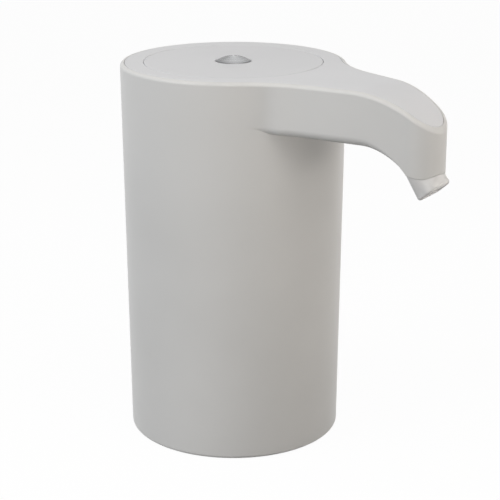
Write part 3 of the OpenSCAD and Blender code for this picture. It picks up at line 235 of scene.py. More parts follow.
def spunSteel(look):
    material, tree, shader, spot = newMaterial("stainless steel, spun and brushed")
    apart = addNode(tree, "ShaderNodeSeparateXYZ", links={"Vector": spot})
    flat = addNode(tree, "ShaderNodeCombineXYZ", links={"X": apart.outputs["X"], "Y": apart.outputs["Y"]})
    away = addNode(tree, "ShaderNodeVectorMath", {"operation": "LENGTH"}, {0: flat.outputs["Vector"]})
    rings = addNode(tree, "ShaderNodeTexNoise",
                    {"noise_dimensions": "1D", "Scale": patternScale(look["ringMm"]), "Detail": 3.0},
                    {"W": away.outputs["Value"]})
    tone = addNode(tree, "ShaderNodeValToRGB", {"stops": toneRamp(look)}, {"Fac": rings.outputs["Fac"]})
    # a painted highlight: the bow-tie is also painted into the tone as light and dark wedges, so that it
    # shows in an all-white studio
    around = addNode(tree, "ShaderNodeMath", {"operation": "ARCTAN2"},
                     {0: apart.outputs["Y"], 1: apart.outputs["X"]})
    twice = addNode(tree, "ShaderNodeMath",
                    {"operation": "MULTIPLY_ADD", 1: 2.0, 2: -2 * math.radians(look["fanDeg"])},
                    {0: around.outputs["Value"]})
    wave = addNode(tree, "ShaderNodeMath", {"operation": "COSINE"}, {0: twice.outputs["Value"]})
    fan = addNode(tree, "ShaderNodeMapRange", {"From Min": -1.0, "To Min": look["fanDark"]},
                  {"Value": wave.outputs["Value"]})
    fanned = addNode(tree, "ShaderNodeMix",
                     {"data_type": "RGBA", "blend_type": "MULTIPLY", "Factor": 1.0},
                     {6: tone.outputs["Color"], 7: fan.outputs["Result"]})
    # painted shade: the tone darkens to the edge colour towards the dome's rim, where it turns down into
    # the hole
    inner, outer = look["rimShadeMm"]
    rim = addNode(tree, "ShaderNodeMapRange", {"From Min": inner * mm, "From Max": outer * mm},
                  {"Value": away.outputs["Value"]})
    paintedRimShade = addNode(tree, "ShaderNodeMix", {"data_type": "RGBA", 7: toLinear(look["edge"])},
                    {"Factor": rim.outputs["Result"], 6: fanned.outputs[2]})
    tree.links.new(paintedRimShade.outputs[2], shader.inputs["Base Color"])
    gloss = addNode(tree, "ShaderNodeMapRange",
                    {"To Min": look["roughLow"], "To Max": look["roughHigh"]},
                    {"Value": rings.outputs["Fac"]})
    tree.links.new(gloss.outputs["Result"], shader.inputs["Roughness"])
    tangent = addNode(tree, "ShaderNodeTangent", {"direction_type": "RADIAL", "axis": "Z"})
    tree.links.new(tangent.outputs["Tangent"], shader.inputs["Tangent"])
    bump = addNode(tree, "ShaderNodeBump",
                   {"Strength": look["bump"], "Distance": look["bumpMm"] * mm},
                   {"Height": rings.outputs["Fac"]})
    tree.links.new(bump.outputs["Normal"], shader.inputs["Normal"])
    shader.inputs["Metallic"].default_value = 1.0
    shader.inputs["Anisotropic"].default_value = look["anisotropy"]
    return material


materials["button_metal"] = spunSteel(buttonLook)

# every CAD node takes the finish of its slot
slotOf = {row["node"]: row["material_slot"] for row in frame["record"]["subparts"]}
for name, node in nodes.items():
    node.data.materials.clear()
    node.data.materials.append(materials[slotOf[name]])
print("materials:", len(materials))


# meshes

mergeGap = 1e-6  # metres


# closes the seams, turns the faces outwards, shades it and hands it over to the frame
def finishPiece(bm, name, bodyName, slotName, replaced, sharpDeg):
    bmesh.ops.remove_doubles(bm, verts=bm.verts, dist=mergeGap)
    bmesh.ops.recalc_face_normals(bm, faces=bm.faces)
    mesh = bpy.data.meshes.new(name)
    bm.to_mesh(mesh)
    bm.free()
    mesh.shade_smooth()
    mesh.set_sharp_from_angle(angle=math.radians(sharpDeg))
    piece = bpy.data.objects.new(name, mesh)
    scene.collection.objects.link(piece)
    mesh.materials.append(materials[slotName])
    even = piece.modifiers.new("even shading", "WEIGHTED_NORMAL")
    even.keep_sharp = True
    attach(piece, bodyName)
    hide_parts(*replaced)
    print("piece:", name, len(mesh.polygons), "faces")
    return piece


def arcPoints(cx, cy, r, startDeg, endDeg, count):
    angles = [math.radians(startDeg + (endDeg - startDeg) * i / count) for i in range(count + 1)]
    return [(cx + r * math.cos(a), cy + r * math.sin(a)) for a in angles]


def spinProfile(bm, points, steps):
    verts = [bm.verts.new((r * mm, 0, z * mm)) for r, z in points]
    edges = [bm.edges.new(pair) for pair in zip(verts, verts[1:])]
    bmesh.ops.spin(bm, geom=verts + edges, axis=(0, 0, 1), angle=2 * math.pi, steps=steps, use_merge=True)
    bmesh.ops.remove_doubles(bm, verts=bm.verts, dist=mergeGap)


def loopEdges(bm, ring, closed=True):
    pairs = zip(ring, ring[1:] + ring[:1]) if closed else zip(ring, ring[1:])
    return [bm.edges.get(pair) or bm.edges.new(pair) for pair in pairs]


def firstRing(bm, places):
    ring = [bm.verts.new(Vector(p) * mm) for p in places]
    loopEdges(bm, ring)
    return ring


# extrudes a ring of edges and sets its new corners down at their places
def pullRing(bm, ring, places):
    made = bmesh.ops.extrude_edge_only(bm, edges=loopEdges(bm, ring))["geom"]
    fresh = {v for v in made if isinstance(v, bmesh.types.BMVert)}
    pulled = [next(e.other_vert(v) for e in v.link_edges if e.other_vert(v) in fresh) for v in ring]
    for v, place in zip(pulled, places):
        v.co = Vector(place) * mm
    return pulled


# body with the spout arm, in mm
body = dict(height=131.0, topR=38.5, footR=37.0, wall=2.4, rimRound=1.3, footRound=1.2, rimWidth=1.5,
            ledge=1.8, ledgeHigh=2.0, backSteps=96, frontSteps=40, canSteps=12, rimSteps=8, footSteps=6,
            sharpDeg=28)
arm = dict(reach=87.3, endR=8.7, taper=12.6, sweepR=40.0, depth=17.4, topRun=27.0, topR=40.0,
           underRun=24.0, underR=26.0, endDrop=25.4, lowRound=3.0, endRound=0.2, lowSteps=6,
           heel=0.1, heelX=77.5, endBackX=80.3,  # the underside meets the end at endBackX
           endBow=0.04, endBowX=85.5, endArch=1.0, archHalf=5.5, fadeFrom=20.0, fadeTo=7.0,
           sweepSteps=30, sideSteps=28, tipSteps=16, bridgeX=41.0, innerLift=8.0,
           rootPull=0.85, rootFrom=7, rootTo=18, taperTo=14)  # the last three count columns
cover = dict(recess=-0.05, thick=3.15, gap=0.1, edge=0.2, edgeSteps=4, holeR=6.15, holeSides=144,
             bridgeX=45.0, sharpDeg=28)

endZ = body["height"] - arm["endDrop"]
underZ = body["height"] - arm["depth"]
topBendX = arm["reach"] - arm["topRun"]
underBendX = arm["reach"] - arm["underRun"]
underBendZ = underZ - arm["underR"]
tipX = arm["reach"] - arm["endR"]
endBackX = arm["endBackX"]


def bodyR(z):
    return body["footR"] + (body["topR"] - body["footR"]) * z / body["height"]


def armTop(x, drop=0.0):
    r = arm["topR"] - drop
    run = max(0.0, x - topBendX)
    return body["height"] - arm["topR"] + math.sqrt(max(r * r - run * run, 0.0))


def armUnder(x, lift=0.0):
    r = arm["underR"] + lift
    run = max(0.0, min(x - underBendX, r))
    return underBendZ + math.sqrt(r * r - run * run) - arm["heel"] * max(0.0, x - arm["heelX"]) ** 2


# the seam with the outlet is higher at the back, and arched in front
def endPlane(x, y):
    arch = max(0.0, 1.0 - (y / arm["archHalf"]) ** 2) if x > tipX else 0.0
    back = max(0.0, min(arm["endBowX"] - x, arm["endBowX"] - endBackX))
    return endZ + arm["endBow"] * back ** 2 + arm["endArch"] * arch


def lowRound(x):
    f = (x - arm["reach"] + arm["fadeFrom"]) / (arm["fadeFrom"] - arm["fadeTo"])
    return arm["lowRound"] + (arm["endRound"] - arm["lowRound"]) * max(0.0, min(1.0, f))


# half of the outline from above, from where the sweep leaves the body to the tip:
# each point with the way out of it
def halfOutline():
    t = math.radians(arm["taper"])
    sideN, sideD = Vector((math.sin(t), math.cos(t))), Vector((math.cos(t), -math.sin(t)))
    start = Vector((tipX, 0)) + (arm["endR"] + arm["sweepR"]) * sideN
    along, away = start.dot(sideD), body["topR"] + arm["sweepR"]
    back = along - math.sqrt(along ** 2 - start.length_squared + away ** 2)
    centre = start - back * sideD
    a0, a1 = math.atan2(-centre.y, -centre.x), -math.pi / 2 - t
    found = []
    for i in range(arm["sweepSteps"] + 1):
        a = a0 + (a1 - a0) * i / arm["sweepSteps"]
        d = Vector((math.cos(a), math.sin(a)))
        found.append((centre + arm["sweepR"] * d, -d))
    last = found[-1][0]
    found += [(last + back * i / arm["sideSteps"] * sideD, sideN) for i in range(1, arm["sideSteps"])]
    cutA = math.acos((endBackX - tipX) / arm["endR"])  # a column where the underside meets the end's flat
    first = math.pi / 2 - t
    steps = [first, (first + cutA) / 2]
    steps += [cutA * (1 - i / arm["tipSteps"]) for i in range(arm["tipSteps"] + 1)]
    for a in steps:
        d = Vector((math.cos(a), math.sin(a)))
        found.append((Vector((tipX, 0)) + arm["endR"] * d, d))
    return found


half = halfOutline()
flip = Vector((1, -1))
rootAngle = math.atan2(half[0][0].y, half[0][0].x)
backSteps, frontSteps = body["backSteps"], body["frontSteps"]
backAngles = [rootAngle + (2 * math.pi - 2 * rootAngle) * i / backSteps for i in range(backSteps + 1)]
backCount = len(backAngles)
frontAngles = [-rootAngle + 2 * rootAngle * i / frontSteps for i in range(1, frontSteps)]
tipIndex = len(half) - 1
columns = [(half[i][0] * flip, half[i][1] * flip, i) for i in range(1, tipIndex + 1)]
columns += [(half[i][0], half[i][1], i) for i in range(tipIndex - 1, 0, -1)]


def roundRow(angles, r, z):
    return [(r * math.cos(a), r * math.sin(a), z) for a in angles]


# the sweep follows the body's taper where it leaves it
def taperShift(z, i):
    return (bodyR(z) - body["topR"]) * max(0.0, 1.0 - i / arm["taperTo"])


# a ring round the whole outline, drawn in by an inset, at a depth below the top
def topRing(inset, drop, along):
    z = body["height"] - drop
    places = roundRow(backAngles, bodyR(z) - inset, z)
    for p, n, i in columns:
        fall = math.tan(math.asin(max(0.0, p.x - topBendX) / arm["topR"])) * n.x
        draw = inset / math.hypot(1.0, fall)  # as wide on the slope as on the flat
        q = p + (taperShift(z, i) - draw) * n
        places.append((q.x, q.y, armTop(q.x, drop) if along else armTop(q.x) - drop))
    return places


# how far a point of the arm's edge stands off the body, straight in, unless it passes by the body
def standOff(p, n):
    c = p.dot(n)
    d = c * c - p.length_squared + bodyR(underZ) ** 2
    return c - math.sqrt(d) if d > 0 else None


# how far the edge's rounding can go in before it meets the body, and how high it is there
def roundStop(p, n, r):
    off = standOff(p, n)
    gap = r if off is None else max(0.0, min(off, r))
    return gap, r - math.sqrt(r * r - (r - gap) ** 2)


# the underside's edge lies closer to the body where the arm leaves it
def underEdge(p, n, i):
    off = standOff(p, n)
    f = max(0.0, min(1.0, (arm["rootTo"] - i) / (arm["rootTo"] - arm["rootFrom"])))
    if f == 0.0 or off is None:
        return p
    over = max(0.0, off + taperShift(underZ, i))
    return p - arm["rootPull"] * f * f * (3 - 2 * f) * over * n


# a ring round the outline at the underside, on the rounding of its edge
def lowRing(angleDeg, inset, lift, floorLift):
    a = math.radians(angleDeg)
    z = underZ + lift + arm["lowRound"] * (1 - math.cos(a))
    places = roundRow(backAngles, bodyR(z) - inset, z)
    for p, n, i in columns:
        r = lowRound(p.x)
        edge = underEdge(p, n, i)
        gap, stop = roundStop(edge + taperShift(underZ, i) * n, n, r)
        q = edge + (taperShift(z, i) - inset - min(r * (1 - math.sin(a)), gap)) * n
        under = max(armUnder(q.x, lift), endPlane(q.x, q.y) + floorLift)
        places.append((q.x, q.y, under + max(r * (1 - math.cos(a)), stop)))
    return places


# strips from one side of the arm to the other; gives the loop that is left open next to the body
def bridgeArm(bm, ring, border, fromX):
    near = [ring[backCount - 1]] + ring[backCount:backCount + tipIndex]
    far = [ring[0]] + ring[backCount + tipIndex - 1:][::-1]
    start = next(i for i, (p, n) in enumerate(half) if p.x > fromX)
    sides = loopEdges(bm, near[start:tipIndex], False) + loopEdges(bm, far[start:tipIndex], False)
    bmesh.ops.bridge_loops(bm, edges=sides)
    bmesh.ops.contextual_create(bm, geom=[near[tipIndex - 1], near[tipIndex], far[tipIndex - 1]])
    return loopEdges(bm, border + far[1:start + 1] + near[start:0:-1])


# how high the arm's rounded edge runs into the body, at an angle round the front
def frontLift(angle):
    stops = [(rootAngle, arm["lowRound"])]
    for i, (p, n) in enumerate(half[1:arm["sweepSteps"]], 1):
        edge = underEdge(p, n, i) + taperShift(underZ, i) * n
        gap, stop = roundStop(edge, n, arm["lowRound"])
        q = edge - gap * n
        stops.append((math.atan2(q.y, q.x), stop))
    for (a0, z0), (a1, z1) in zip(stops, stops[1:]):
        if a1 <= abs(angle) <= a0:
            return z0 + (z1 - z0) * (a0 - abs(angle)) / (a0 - a1)
    return 0.0


# the can under the arm, pulled down level by level from the lowest ring
def pullCan(bm, ring, levels, inset):
    z = levels[0][0]
    front = [bm.verts.new(Vector(p) * mm) for p in roundRow(frontAngles, bodyR(z) - inset, z)]
    for v in front:
        v.co.z += frontLift(math.atan2(v.co.y, v.co.x)) * mm
    row = ring[:backCount] + front
    border = [row[backCount - 1]] + front + [row[0]]
    for z, extra in levels[1:]:
        row = pullRing(bm, row, roundRow(backAngles + frontAngles, bodyR(z) - inset - extra, z))
    return row, border


# bosses inside the can for the base screws
boss = dict(turns=(60, 180, 300), x=27.0, z=48.0, r=3.2, high=12.0, sides=32, webX=5.7, webLong=5.6,
            webThick=2.4)


def buildHousing():
    bm = bmesh.new()
    wall, rim, down = body["wall"], body["rimWidth"], cover["recess"] + cover["thick"]
    # outside: under the arm, up the wall, over the rim and down to the ledge that carries the cover
    places = [lowRing(90 * i / arm["lowSteps"], 0.0, 0.0, 0.0) for i in range(arm["lowSteps"] + 1)]
    soft = body["rimRound"]
    for x, z in arcPoints(soft, soft, soft, 180, 270, body["rimSteps"]):
        places.append(topRing(x, z, False))
    soft = cover["edge"]
    for x, z in arcPoints(rim - soft, soft, soft, -90, 0, cover["edgeSteps"]):
        places.append(topRing(x, z, True))
    inner, low = rim + body["ledge"], down + body["ledgeHigh"]
    for inset, drop in ((rim, down), (inner, down), (inner, low), (wall, low)):
        places.append(topRing(inset, drop, True))
    places += [lowRing(a, wall, wall, arm["innerLift"]) for a in (90, 0)]
    first = ring = firstRing(bm, places[0])
    for row in places[1:]:
        ring = pullRing(bm, ring, row)
    # the can, outside and inside, and its foot
    steps = [(underZ * k / body["canSteps"], 0.0) for k in range(body["canSteps"] - 1, 0, -1)]
    soft = body["footRound"]
    foot = [(z, x) for x, z in arcPoints(soft, soft, soft, 180, 270, body["footSteps"])]
    footOut, borderOut = pullCan(bm, first, [(underZ, 0.0)] + steps + foot, 0.0)
    footIn, borderIn = pullCan(bm, ring, [(underZ + wall, 0.0)] + steps + [(0.0, 0.0)], wall)
    bmesh.ops.bridge_loops(bm, edges=loopEdges(bm, footOut) + loopEdges(bm, footIn))
    for row, border in ((first, borderOut), (ring, borderIn)):
        bmesh.ops.triangle_fill(bm, use_beauty=True, edges=bridgeArm(bm, row, border, arm["bridgeX"]))
    # each boss stands on a web from the wall
    r, high = boss["r"] * mm, boss["high"] * mm
    for turnDeg in boss["turns"]:
        spot = Matrix.Rotation(math.radians(turnDeg), 4, "Z")
        spot = spot @ Matrix.Translation((boss["x"] * mm, 0, boss["z"] * mm))
        bmesh.ops.create_cone(bm, cap_ends=True, segments=boss["sides"], radius1=r, radius2=r, depth=high,
                              matrix=spot)
        web = Matrix.Diagonal((boss["webLong"] * mm, boss["webThick"] * mm, high, 1))
        web = Matrix.Translation((boss["webX"] * mm, 0, 0)) @ web
        bmesh.ops.create_cube(bm, size=1.0, matrix=spot @ web)
    return finishPiece(bm, "housing", "housing", "housing_plastic", ["body_shell"], body["sharpDeg"])


housing = buildHousing()

# opening for the charging socket, cut through the back
socket = dict(wide=8.9, high=3.2, gap=0.35, z=117.2, fromX=-45.0, toX=-30.0, arcSteps=12)


def cutSocket(piece):
    bm = bmesh.new()
    r, reach = socket["high"] / 2 + socket["gap"], (socket["wide"] - socket["high"]) / 2
    steps = socket["arcSteps"]
    outline = arcPoints(reach, 0, r, -90, 90, steps) + arcPoints(-reach, 0, r, 90, 270, steps)
    ring = firstRing(bm, [(socket["fromX"], y, socket["z"] + z) for y, z in outline])
    pulled = pullRing(bm, ring, [(socket["toX"], y, socket["z"] + z) for y, z in outline])
    for end in (ring, pulled):
        bmesh.ops.contextual_create(bm, geom=end)
    bmesh.ops.recalc_face_normals(bm, faces=bm.faces)
    mesh = bpy.data.meshes.new("socketCut")
    bm.to_mesh(mesh)
    bm.free()
    cutter = bpy.data.objects.new("socketCut", mesh)
    scene.collection.objects.link(cutter)
    cut = piece.modifiers.new("socket", "BOOLEAN")
    cut.object, cut.operation, cut.solver = cutter, "DIFFERENCE", "EXACT"
    even = piece.modifiers["even shading"]  # left out while the cut is taken over
    even.show_viewport = False
    opened = bpy.data.meshes.new_from_object(piece.evaluated_get(bpy.context.evaluated_depsgraph_get()))
    even.show_viewport = True
    piece.modifiers.remove(cut)
    bpy.data.objects.remove(cutter)
    piece.data = opened
    opened.set_sharp_from_angle(angle=math.radians(body["sharpDeg"]))
    print("socket cut:", len(opened.polygons), "faces")


cutSocket(housing)

# the cover carries the inlay on top, and the board on posts underneath
panel = dict(r=30.5, gap=0.1, edge=0.28, edgeSteps=4, thick=1.2, sides=160, sharpDeg=28)
post = dict(x=(-21.3, 7.5), y=(-12.0, 12.0), r=2.8, high=12.3, sides=32)


def buildCover():
    bm = bmesh.new()
    inset, down = body["rimWidth"] + cover["gap"], cover["recess"] + cover["thick"]
    edge, holeR = cover["edge"], cover["holeR"]
    topZ, lowZ = body["height"] - cover["recess"], body["height"] - down
    first = ring = firstRing(bm, topRing(inset, down, True))
    for x, z in arcPoints(edge, edge, edge, 180, 270, cover["edgeSteps"]):
        ring = pullRing(bm, ring, topRing(inset + x, cover["recess"] + z, True))
    panelR, soft = panel["r"] + panel["gap"], panel["edge"]
    around = [2 * math.pi * i / cover["holeSides"] for i in range(cover["holeSides"])]
    lowHole = firstRing(bm, roundRow(around, holeR, lowZ))
    highHole = firstRing(bm, roundRow(around, panelR + soft, topZ))
    for row, hole in ((first, lowHole), (ring, highHole)):
        border = bridgeArm(bm, row, row[backCount - 1::-1], cover["bridgeX"])
        bmesh.ops.triangle_fill(bm, use_beauty=True, edges=border + loopEdges(bm, hole))
    # the edge of the inlay's recess, its floor and the hole for the button
    row = highHole
    for x, z in arcPoints(soft, soft, soft, -90, -180, panel["edgeSteps"])[1:]:
        row = pullRing(bm, row, roundRow(around, panelR + x, topZ - z))
    floorZ = topZ - panel["thick"]
    for r in (panelR, holeR):
        row = pullRing(bm, row, roundRow(around, r, floorZ))
    bmesh.ops.bridge_loops(bm, edges=loopEdges(bm, row) + loopEdges(bm, lowHole))
    r, high = post["r"] * mm, post["high"] * mm
    for x in post["x"]:
        for y in post["y"]:
            spot = Matrix.Translation((x * mm, y * mm, (lowZ - post["high"] / 2) * mm))
            bmesh.ops.create_cone(bm, cap_ends=True, segments=post["sides"], radius1=r, radius2=r,
                                  depth=high, matrix=spot)
    return finishPiece(bm, "coverPlate", "housing", "cover_plastic", ["top_cover"], cover["sharpDeg"])


buildCover()


def buildPanel():
    bm = bmesh.new()
    edge, steps, r, hole = panel["edge"], panel["edgeSteps"], panel["r"], cover["holeR"]
    topZ = body["height"] - cover["recess"]
    lowZ = topZ - panel["thick"]
    outer = arcPoints(r - edge, topZ - edge, edge, 0, 90, steps)
    inner = arcPoints(hole + edge, topZ - edge, edge, 90, 180, steps)
    spinProfile(bm, [(hole, lowZ), (r, lowZ)] + outer + inner + [(hole, lowZ)], panel["sides"])
    return finishPiece(bm, "inlayPanel", "housing", "panel_plastic", ["top_panel"], panel["sharpDeg"])


buildPanel()

# metal cap of the button, its dome's edge at the height of base
button = dict(r=6.0, rise=1.9, base=130.95, skirt=2.1, wall=0.6, lipIn=0.07, lipDown=0.02, lipDeep=0.2,
              lipDeg=2.0, outSteps=24, inSteps=12, sides=96, sharpDeg=50)


def buildButton():
    bm = bmesh.new()
    topZ, r, rise, wall = button["base"], button["r"], button["rise"], button["wall"]
    dome = (r * r + rise * rise) / (2 * rise)
    centreZ, lowZ = topZ + rise - dome, topZ - button["skirt"]
    outAngle = math.degrees(math.acos(r / dome))
    inAngle = math.degrees(math.acos((r - wall) / (dome - wall)))
    outside = arcPoints(0, centreZ, dome, 90, outAngle + button["lipDeg"], button["outSteps"])
    # the dome turns down into the hole
    lip = [(r - button["lipIn"], topZ - button["lipDown"]), (r, topZ - button["lipDeep"])]
    inside = arcPoints(0, centreZ, dome - wall, inAngle, 90, button["inSteps"])
    spinProfile(bm, outside + lip + [(r, lowZ), (r - wall, lowZ)] + inside, button["sides"])
    return finishPiece(bm, "buttonCap", "button", "button_metal", ["power_button"], button["sharpDeg"])


buildButton()

# soft outlet under the arm's end
nozzle = dict(inset=0.1, backX=80.2, corner=0.5, plugInset=1.0, plugHigh=6.0, seatGap=0.03,
              mouthX=arm["reach"] - 1.8, mouthZ=endZ - 4.9, tilt=40.0, lean=0.12, long=7.2, wide=11.2,
              mouthCorner=2.3, leastCorner=0.3, lip=1.0, slot=1.8, wallSteps=8, lipSteps=8, slotSteps=5,
              passage=(1.0, 2.0, 3.0, 5.5, 8.0), passageBack=0.4, passageTaper=0.1,
              frontSteps=44, backSteps=20, endSteps=24, boxSteps=10, cornerSteps=5, sharpDeg=40)


# points at even steps along a line, without its last point
def evenSteps(points, count):
    runs = [0.0]
    for a, b in zip(points, points[1:]):
        runs.append(runs[-1] + math.hypot(b[0] - a[0], b[1] - a[1]))
    found, k = [], 0
    for i in range(count):
        want = runs[-1] * i / count
        while runs[k + 1] < want:
            k += 1
        a, b = points[k], points[k + 1]
        f = (want - runs[k]) / (runs[k + 1] - runs[k])
        found.append((a[0] + (b[0] - a[0]) * f, a[1] + (b[1] - a[1]) * f))
    return found


# a ring from its left half: from the front to the middle of the back corner, and on to the back
def mirrored(front, back):
    side = evenSteps(front, nozzle["frontSteps"]) + evenSteps(back, nozzle["backSteps"])
    return side + [back[-1]] + [(x, -y) for x, y in side[:0:-1]]


def roundedBox(long, wide, corner):
    x, y, steps = long / 2 - corner, wide / 2 - corner, nozzle["cornerSteps"]
    front = [(long / 2, 0.0)] + arcPoints(x, y, corner, 0, 90, nozzle["boxSteps"])
    front += arcPoints(-x, y, corner, 90, 135, steps)
    return mirrored(front, arcPoints(-x, y, corner, 135, 180, steps) + [(-long / 2, 0.0)])


# the end of the arm from above, cut off at its back
def endOutline(inset, backX, corner):
    r = arm["endR"] - inset
    c, steps = backX + corner - tipX, nozzle["cornerSteps"]
    away = math.sqrt((r - corner) ** 2 - c * c)  # the corner touches the flat back and the round front
    a = math.degrees(math.atan2(away, c))
    mid = (a + 180) / 2
    front = arcPoints(tipX, 0, r, 0, a, nozzle["endSteps"])
    front += arcPoints(tipX + c, away, corner, a, mid, steps)
    return mirrored(front, arcPoints(tipX + c, away, corner, mid, 180, steps) + [(backX, 0.0)])


def buildNozzle():
    bm = bmesh.new()
    lip, slot, steps = nozzle["lip"], nozzle["slot"], nozzle["wallSteps"]
    t = math.radians(nozzle["tilt"])
    ahead, out = Vector((math.cos(t), 0, math.sin(t))), Vector((math.sin(t), 0, -math.cos(t)))
    across = Vector((0, 1, nozzle["lean"]))  # the soft mouth sits a little askew
    middle = Vector((nozzle["mouthX"], 0, nozzle["mouthZ"]))

    def mouthRing(shrink, push):
        corner = max(nozzle["mouthCorner"] - shrink, nozzle["leastCorner"])
        flat = roundedBox(nozzle["long"] - 2 * shrink, nozzle["wide"] - 2 * shrink, corner)
        return [middle + ahead * a + across * b + out * push for a, b in flat]

    def seated(flat):
        return [Vector((x, y, endPlane(x, y) - nozzle["seatGap"])) for x, y in flat]

    root = seated(endOutline(nozzle["inset"], nozzle["backX"], nozzle["corner"]))
    plug = endOutline(nozzle["plugInset"], endBackX + nozzle["plugInset"], nozzle["corner"])
    outside = mouthRing(0.0, -lip)
    rows = [seated(plug)]
    rows += [[p.lerp(q, k / steps) for p, q in zip(root, outside)] for k in range(steps)] + [outside]
    rows += [mouthRing(x, -z) for x, z in arcPoints(lip, lip, lip, 180, 270, nozzle["lipSteps"])[1:]]
    # rounded into the slot, and on up the passage
    rounding = arcPoints(lip, lip - slot, slot - lip, 90, 0, nozzle["slotSteps"])
    rows += [mouthRing(x, z) for x, z in rounding[1:]]
    for up in nozzle["passage"]:
        shift = Vector((-nozzle["passageBack"] * up, 0, up))
        rows.append([p + shift for p in mouthRing(slot + nozzle["passageTaper"] * up, lip - slot)])
    ring = first = firstRing(bm, [(x, y, endZ + nozzle["plugHigh"]) for x, y in plug])
    for row in rows:
        ring = pullRing(bm, ring, row)
    for end in (first, ring):
        bmesh.ops.contextual_create(bm, geom=end)
    return finishPiece(bm, "spoutNozzle", "housing", "silicone", ["spout_nozzle"], nozzle["sharpDeg"])


buildNozzle()

# soft collar that grips the bottle's neck with its lips
collar = dict(bore=27.75, outer=30.9, hole=16.0, low=1.5, seat=25.5, top=37.0, lips=3, lipZ=5.5,
              lipHigh=4.0, pitch=8.0, groove=1.2, leadIn=2.0, bevel=0.35, bevelFromDeg=20, bevelSteps=3,
              sides=128, sharpDeg=40)


def buildCollar():
    bm = bmesh.new()
    c = collar
    bore, deep = c["bore"], c["bore"] + c["groove"]
    points = [(c["hole"], c["top"]), (c["hole"], c["seat"]), (bore, c["seat"])]
    for i in reversed(range(c["lips"])):
        z = c["lipZ"] + i * c["pitch"]
        if i < c["lips"] - 1:
            points += [(deep, z + c["pitch"] - c["groove"] / 2),
                       (deep, z + c["lipHigh"] + c["groove"] / 2), (bore, z + c["lipHigh"])]
        points.append((bore, z))
    points += [(bore + c["leadIn"], c["low"]), (c["outer"], c["low"]), (c["outer"], c["top"]),
               (c["hole"], c["top"])]
    spinProfile(bm, points, c["sides"])
    bmesh.ops.recalc_face_normals(bm, faces=bm.faces)
    sharp = [e for e in bm.edges if e.calc_face_angle(0.0) > math.radians(c["bevelFromDeg"])]
    bmesh.ops.bevel(bm, geom=sharp, offset=c["bevel"] * mm, affect="EDGES", segments=c["bevelSteps"],
                    profile=0.5, material=-1)
    return finishPiece(bm, "neckCollar", "housing", "collar_rubber", ["neck_collar"], c["sharpDeg"])


buildCollar()

# hose from the pump's outlet up the wall and along the arm, pushed over a barb at each end, in mm
hose = dict(r=3.5, bore=2.6, sides=24, steps=7, sharpDeg=40,
            route=[(-5.9, 13.3, 49.8), (-5.9, 15.7, 49.8), (-5.9, 18.1, 49.8), (-5.9, 20.5, 49.8),
                   (-5.9, 26.9, 52.5), (-4.9, 29.6, 58.9), (-1.5, 28.8, 69), (4, 27.4, 81), (11, 25, 93),
                   (17, 21, 105), (25, 15.5, 114.5), (36, 8.5, 120.3), (48, 3, 122), (60, 0, 122.1),
                   (69.8, 0, 121.3), (73.8, 0, 119.2), (78, 0, 116.6)])


def buildHose():
    bm = bmesh.new()
    points = [Vector(p) for p in hose["route"]]
    # handles of a smooth curve through the points: a sixth of the way between their neighbours
    handles = [(b - a) / 6 for a, b in zip(points[:1] + points[:-1], points[1:] + points[-1:])]
    spine = []
    for p, q, u, v in zip(points, points[1:], handles, handles[1:]):
        spine += interpolate_bezier(p, p + u, q - v, q, hose["steps"])[:-1]
    spine.append(points[-1])
    turns = [2 * math.pi * i / hose["sides"] for i in range(hose["sides"])]
    side, outside, inside = Vector((0, 0, 1)), [], []
    for before, at, after in zip(spine[:1] + spine[:-1], spine, spine[1:] + spine[-1:]):
        along = (after - before).normalized()
        side = (side - side.dot(along) * along).normalized()  # carried along without a twist
        spokes = [math.cos(a) * side + math.sin(a) * along.cross(side) for a in turns]
        outside.append([at + hose["r"] * s for s in spokes])
        inside.append([at + hose["bore"] * s for s in spokes])
    first = ring = firstRing(bm, outside[0])
    for row in outside[1:] + inside[::-1]:
        ring = pullRing(bm, ring, row)
    bmesh.ops.bridge_loops(bm, edges=loopEdges(bm, first) + loopEdges(bm, ring))
    return finishPiece(bm, "outletHose", "housing", "clear_hose", ["outlet_hose"], hose["sharpDeg"])


buildHose()


# floor, light and camera, in metres
studio = dict(world=0.22, glow=0.96, paper="#707070", paperRough=0.8, floorHalf=4.0, floorDrop=0.0002)


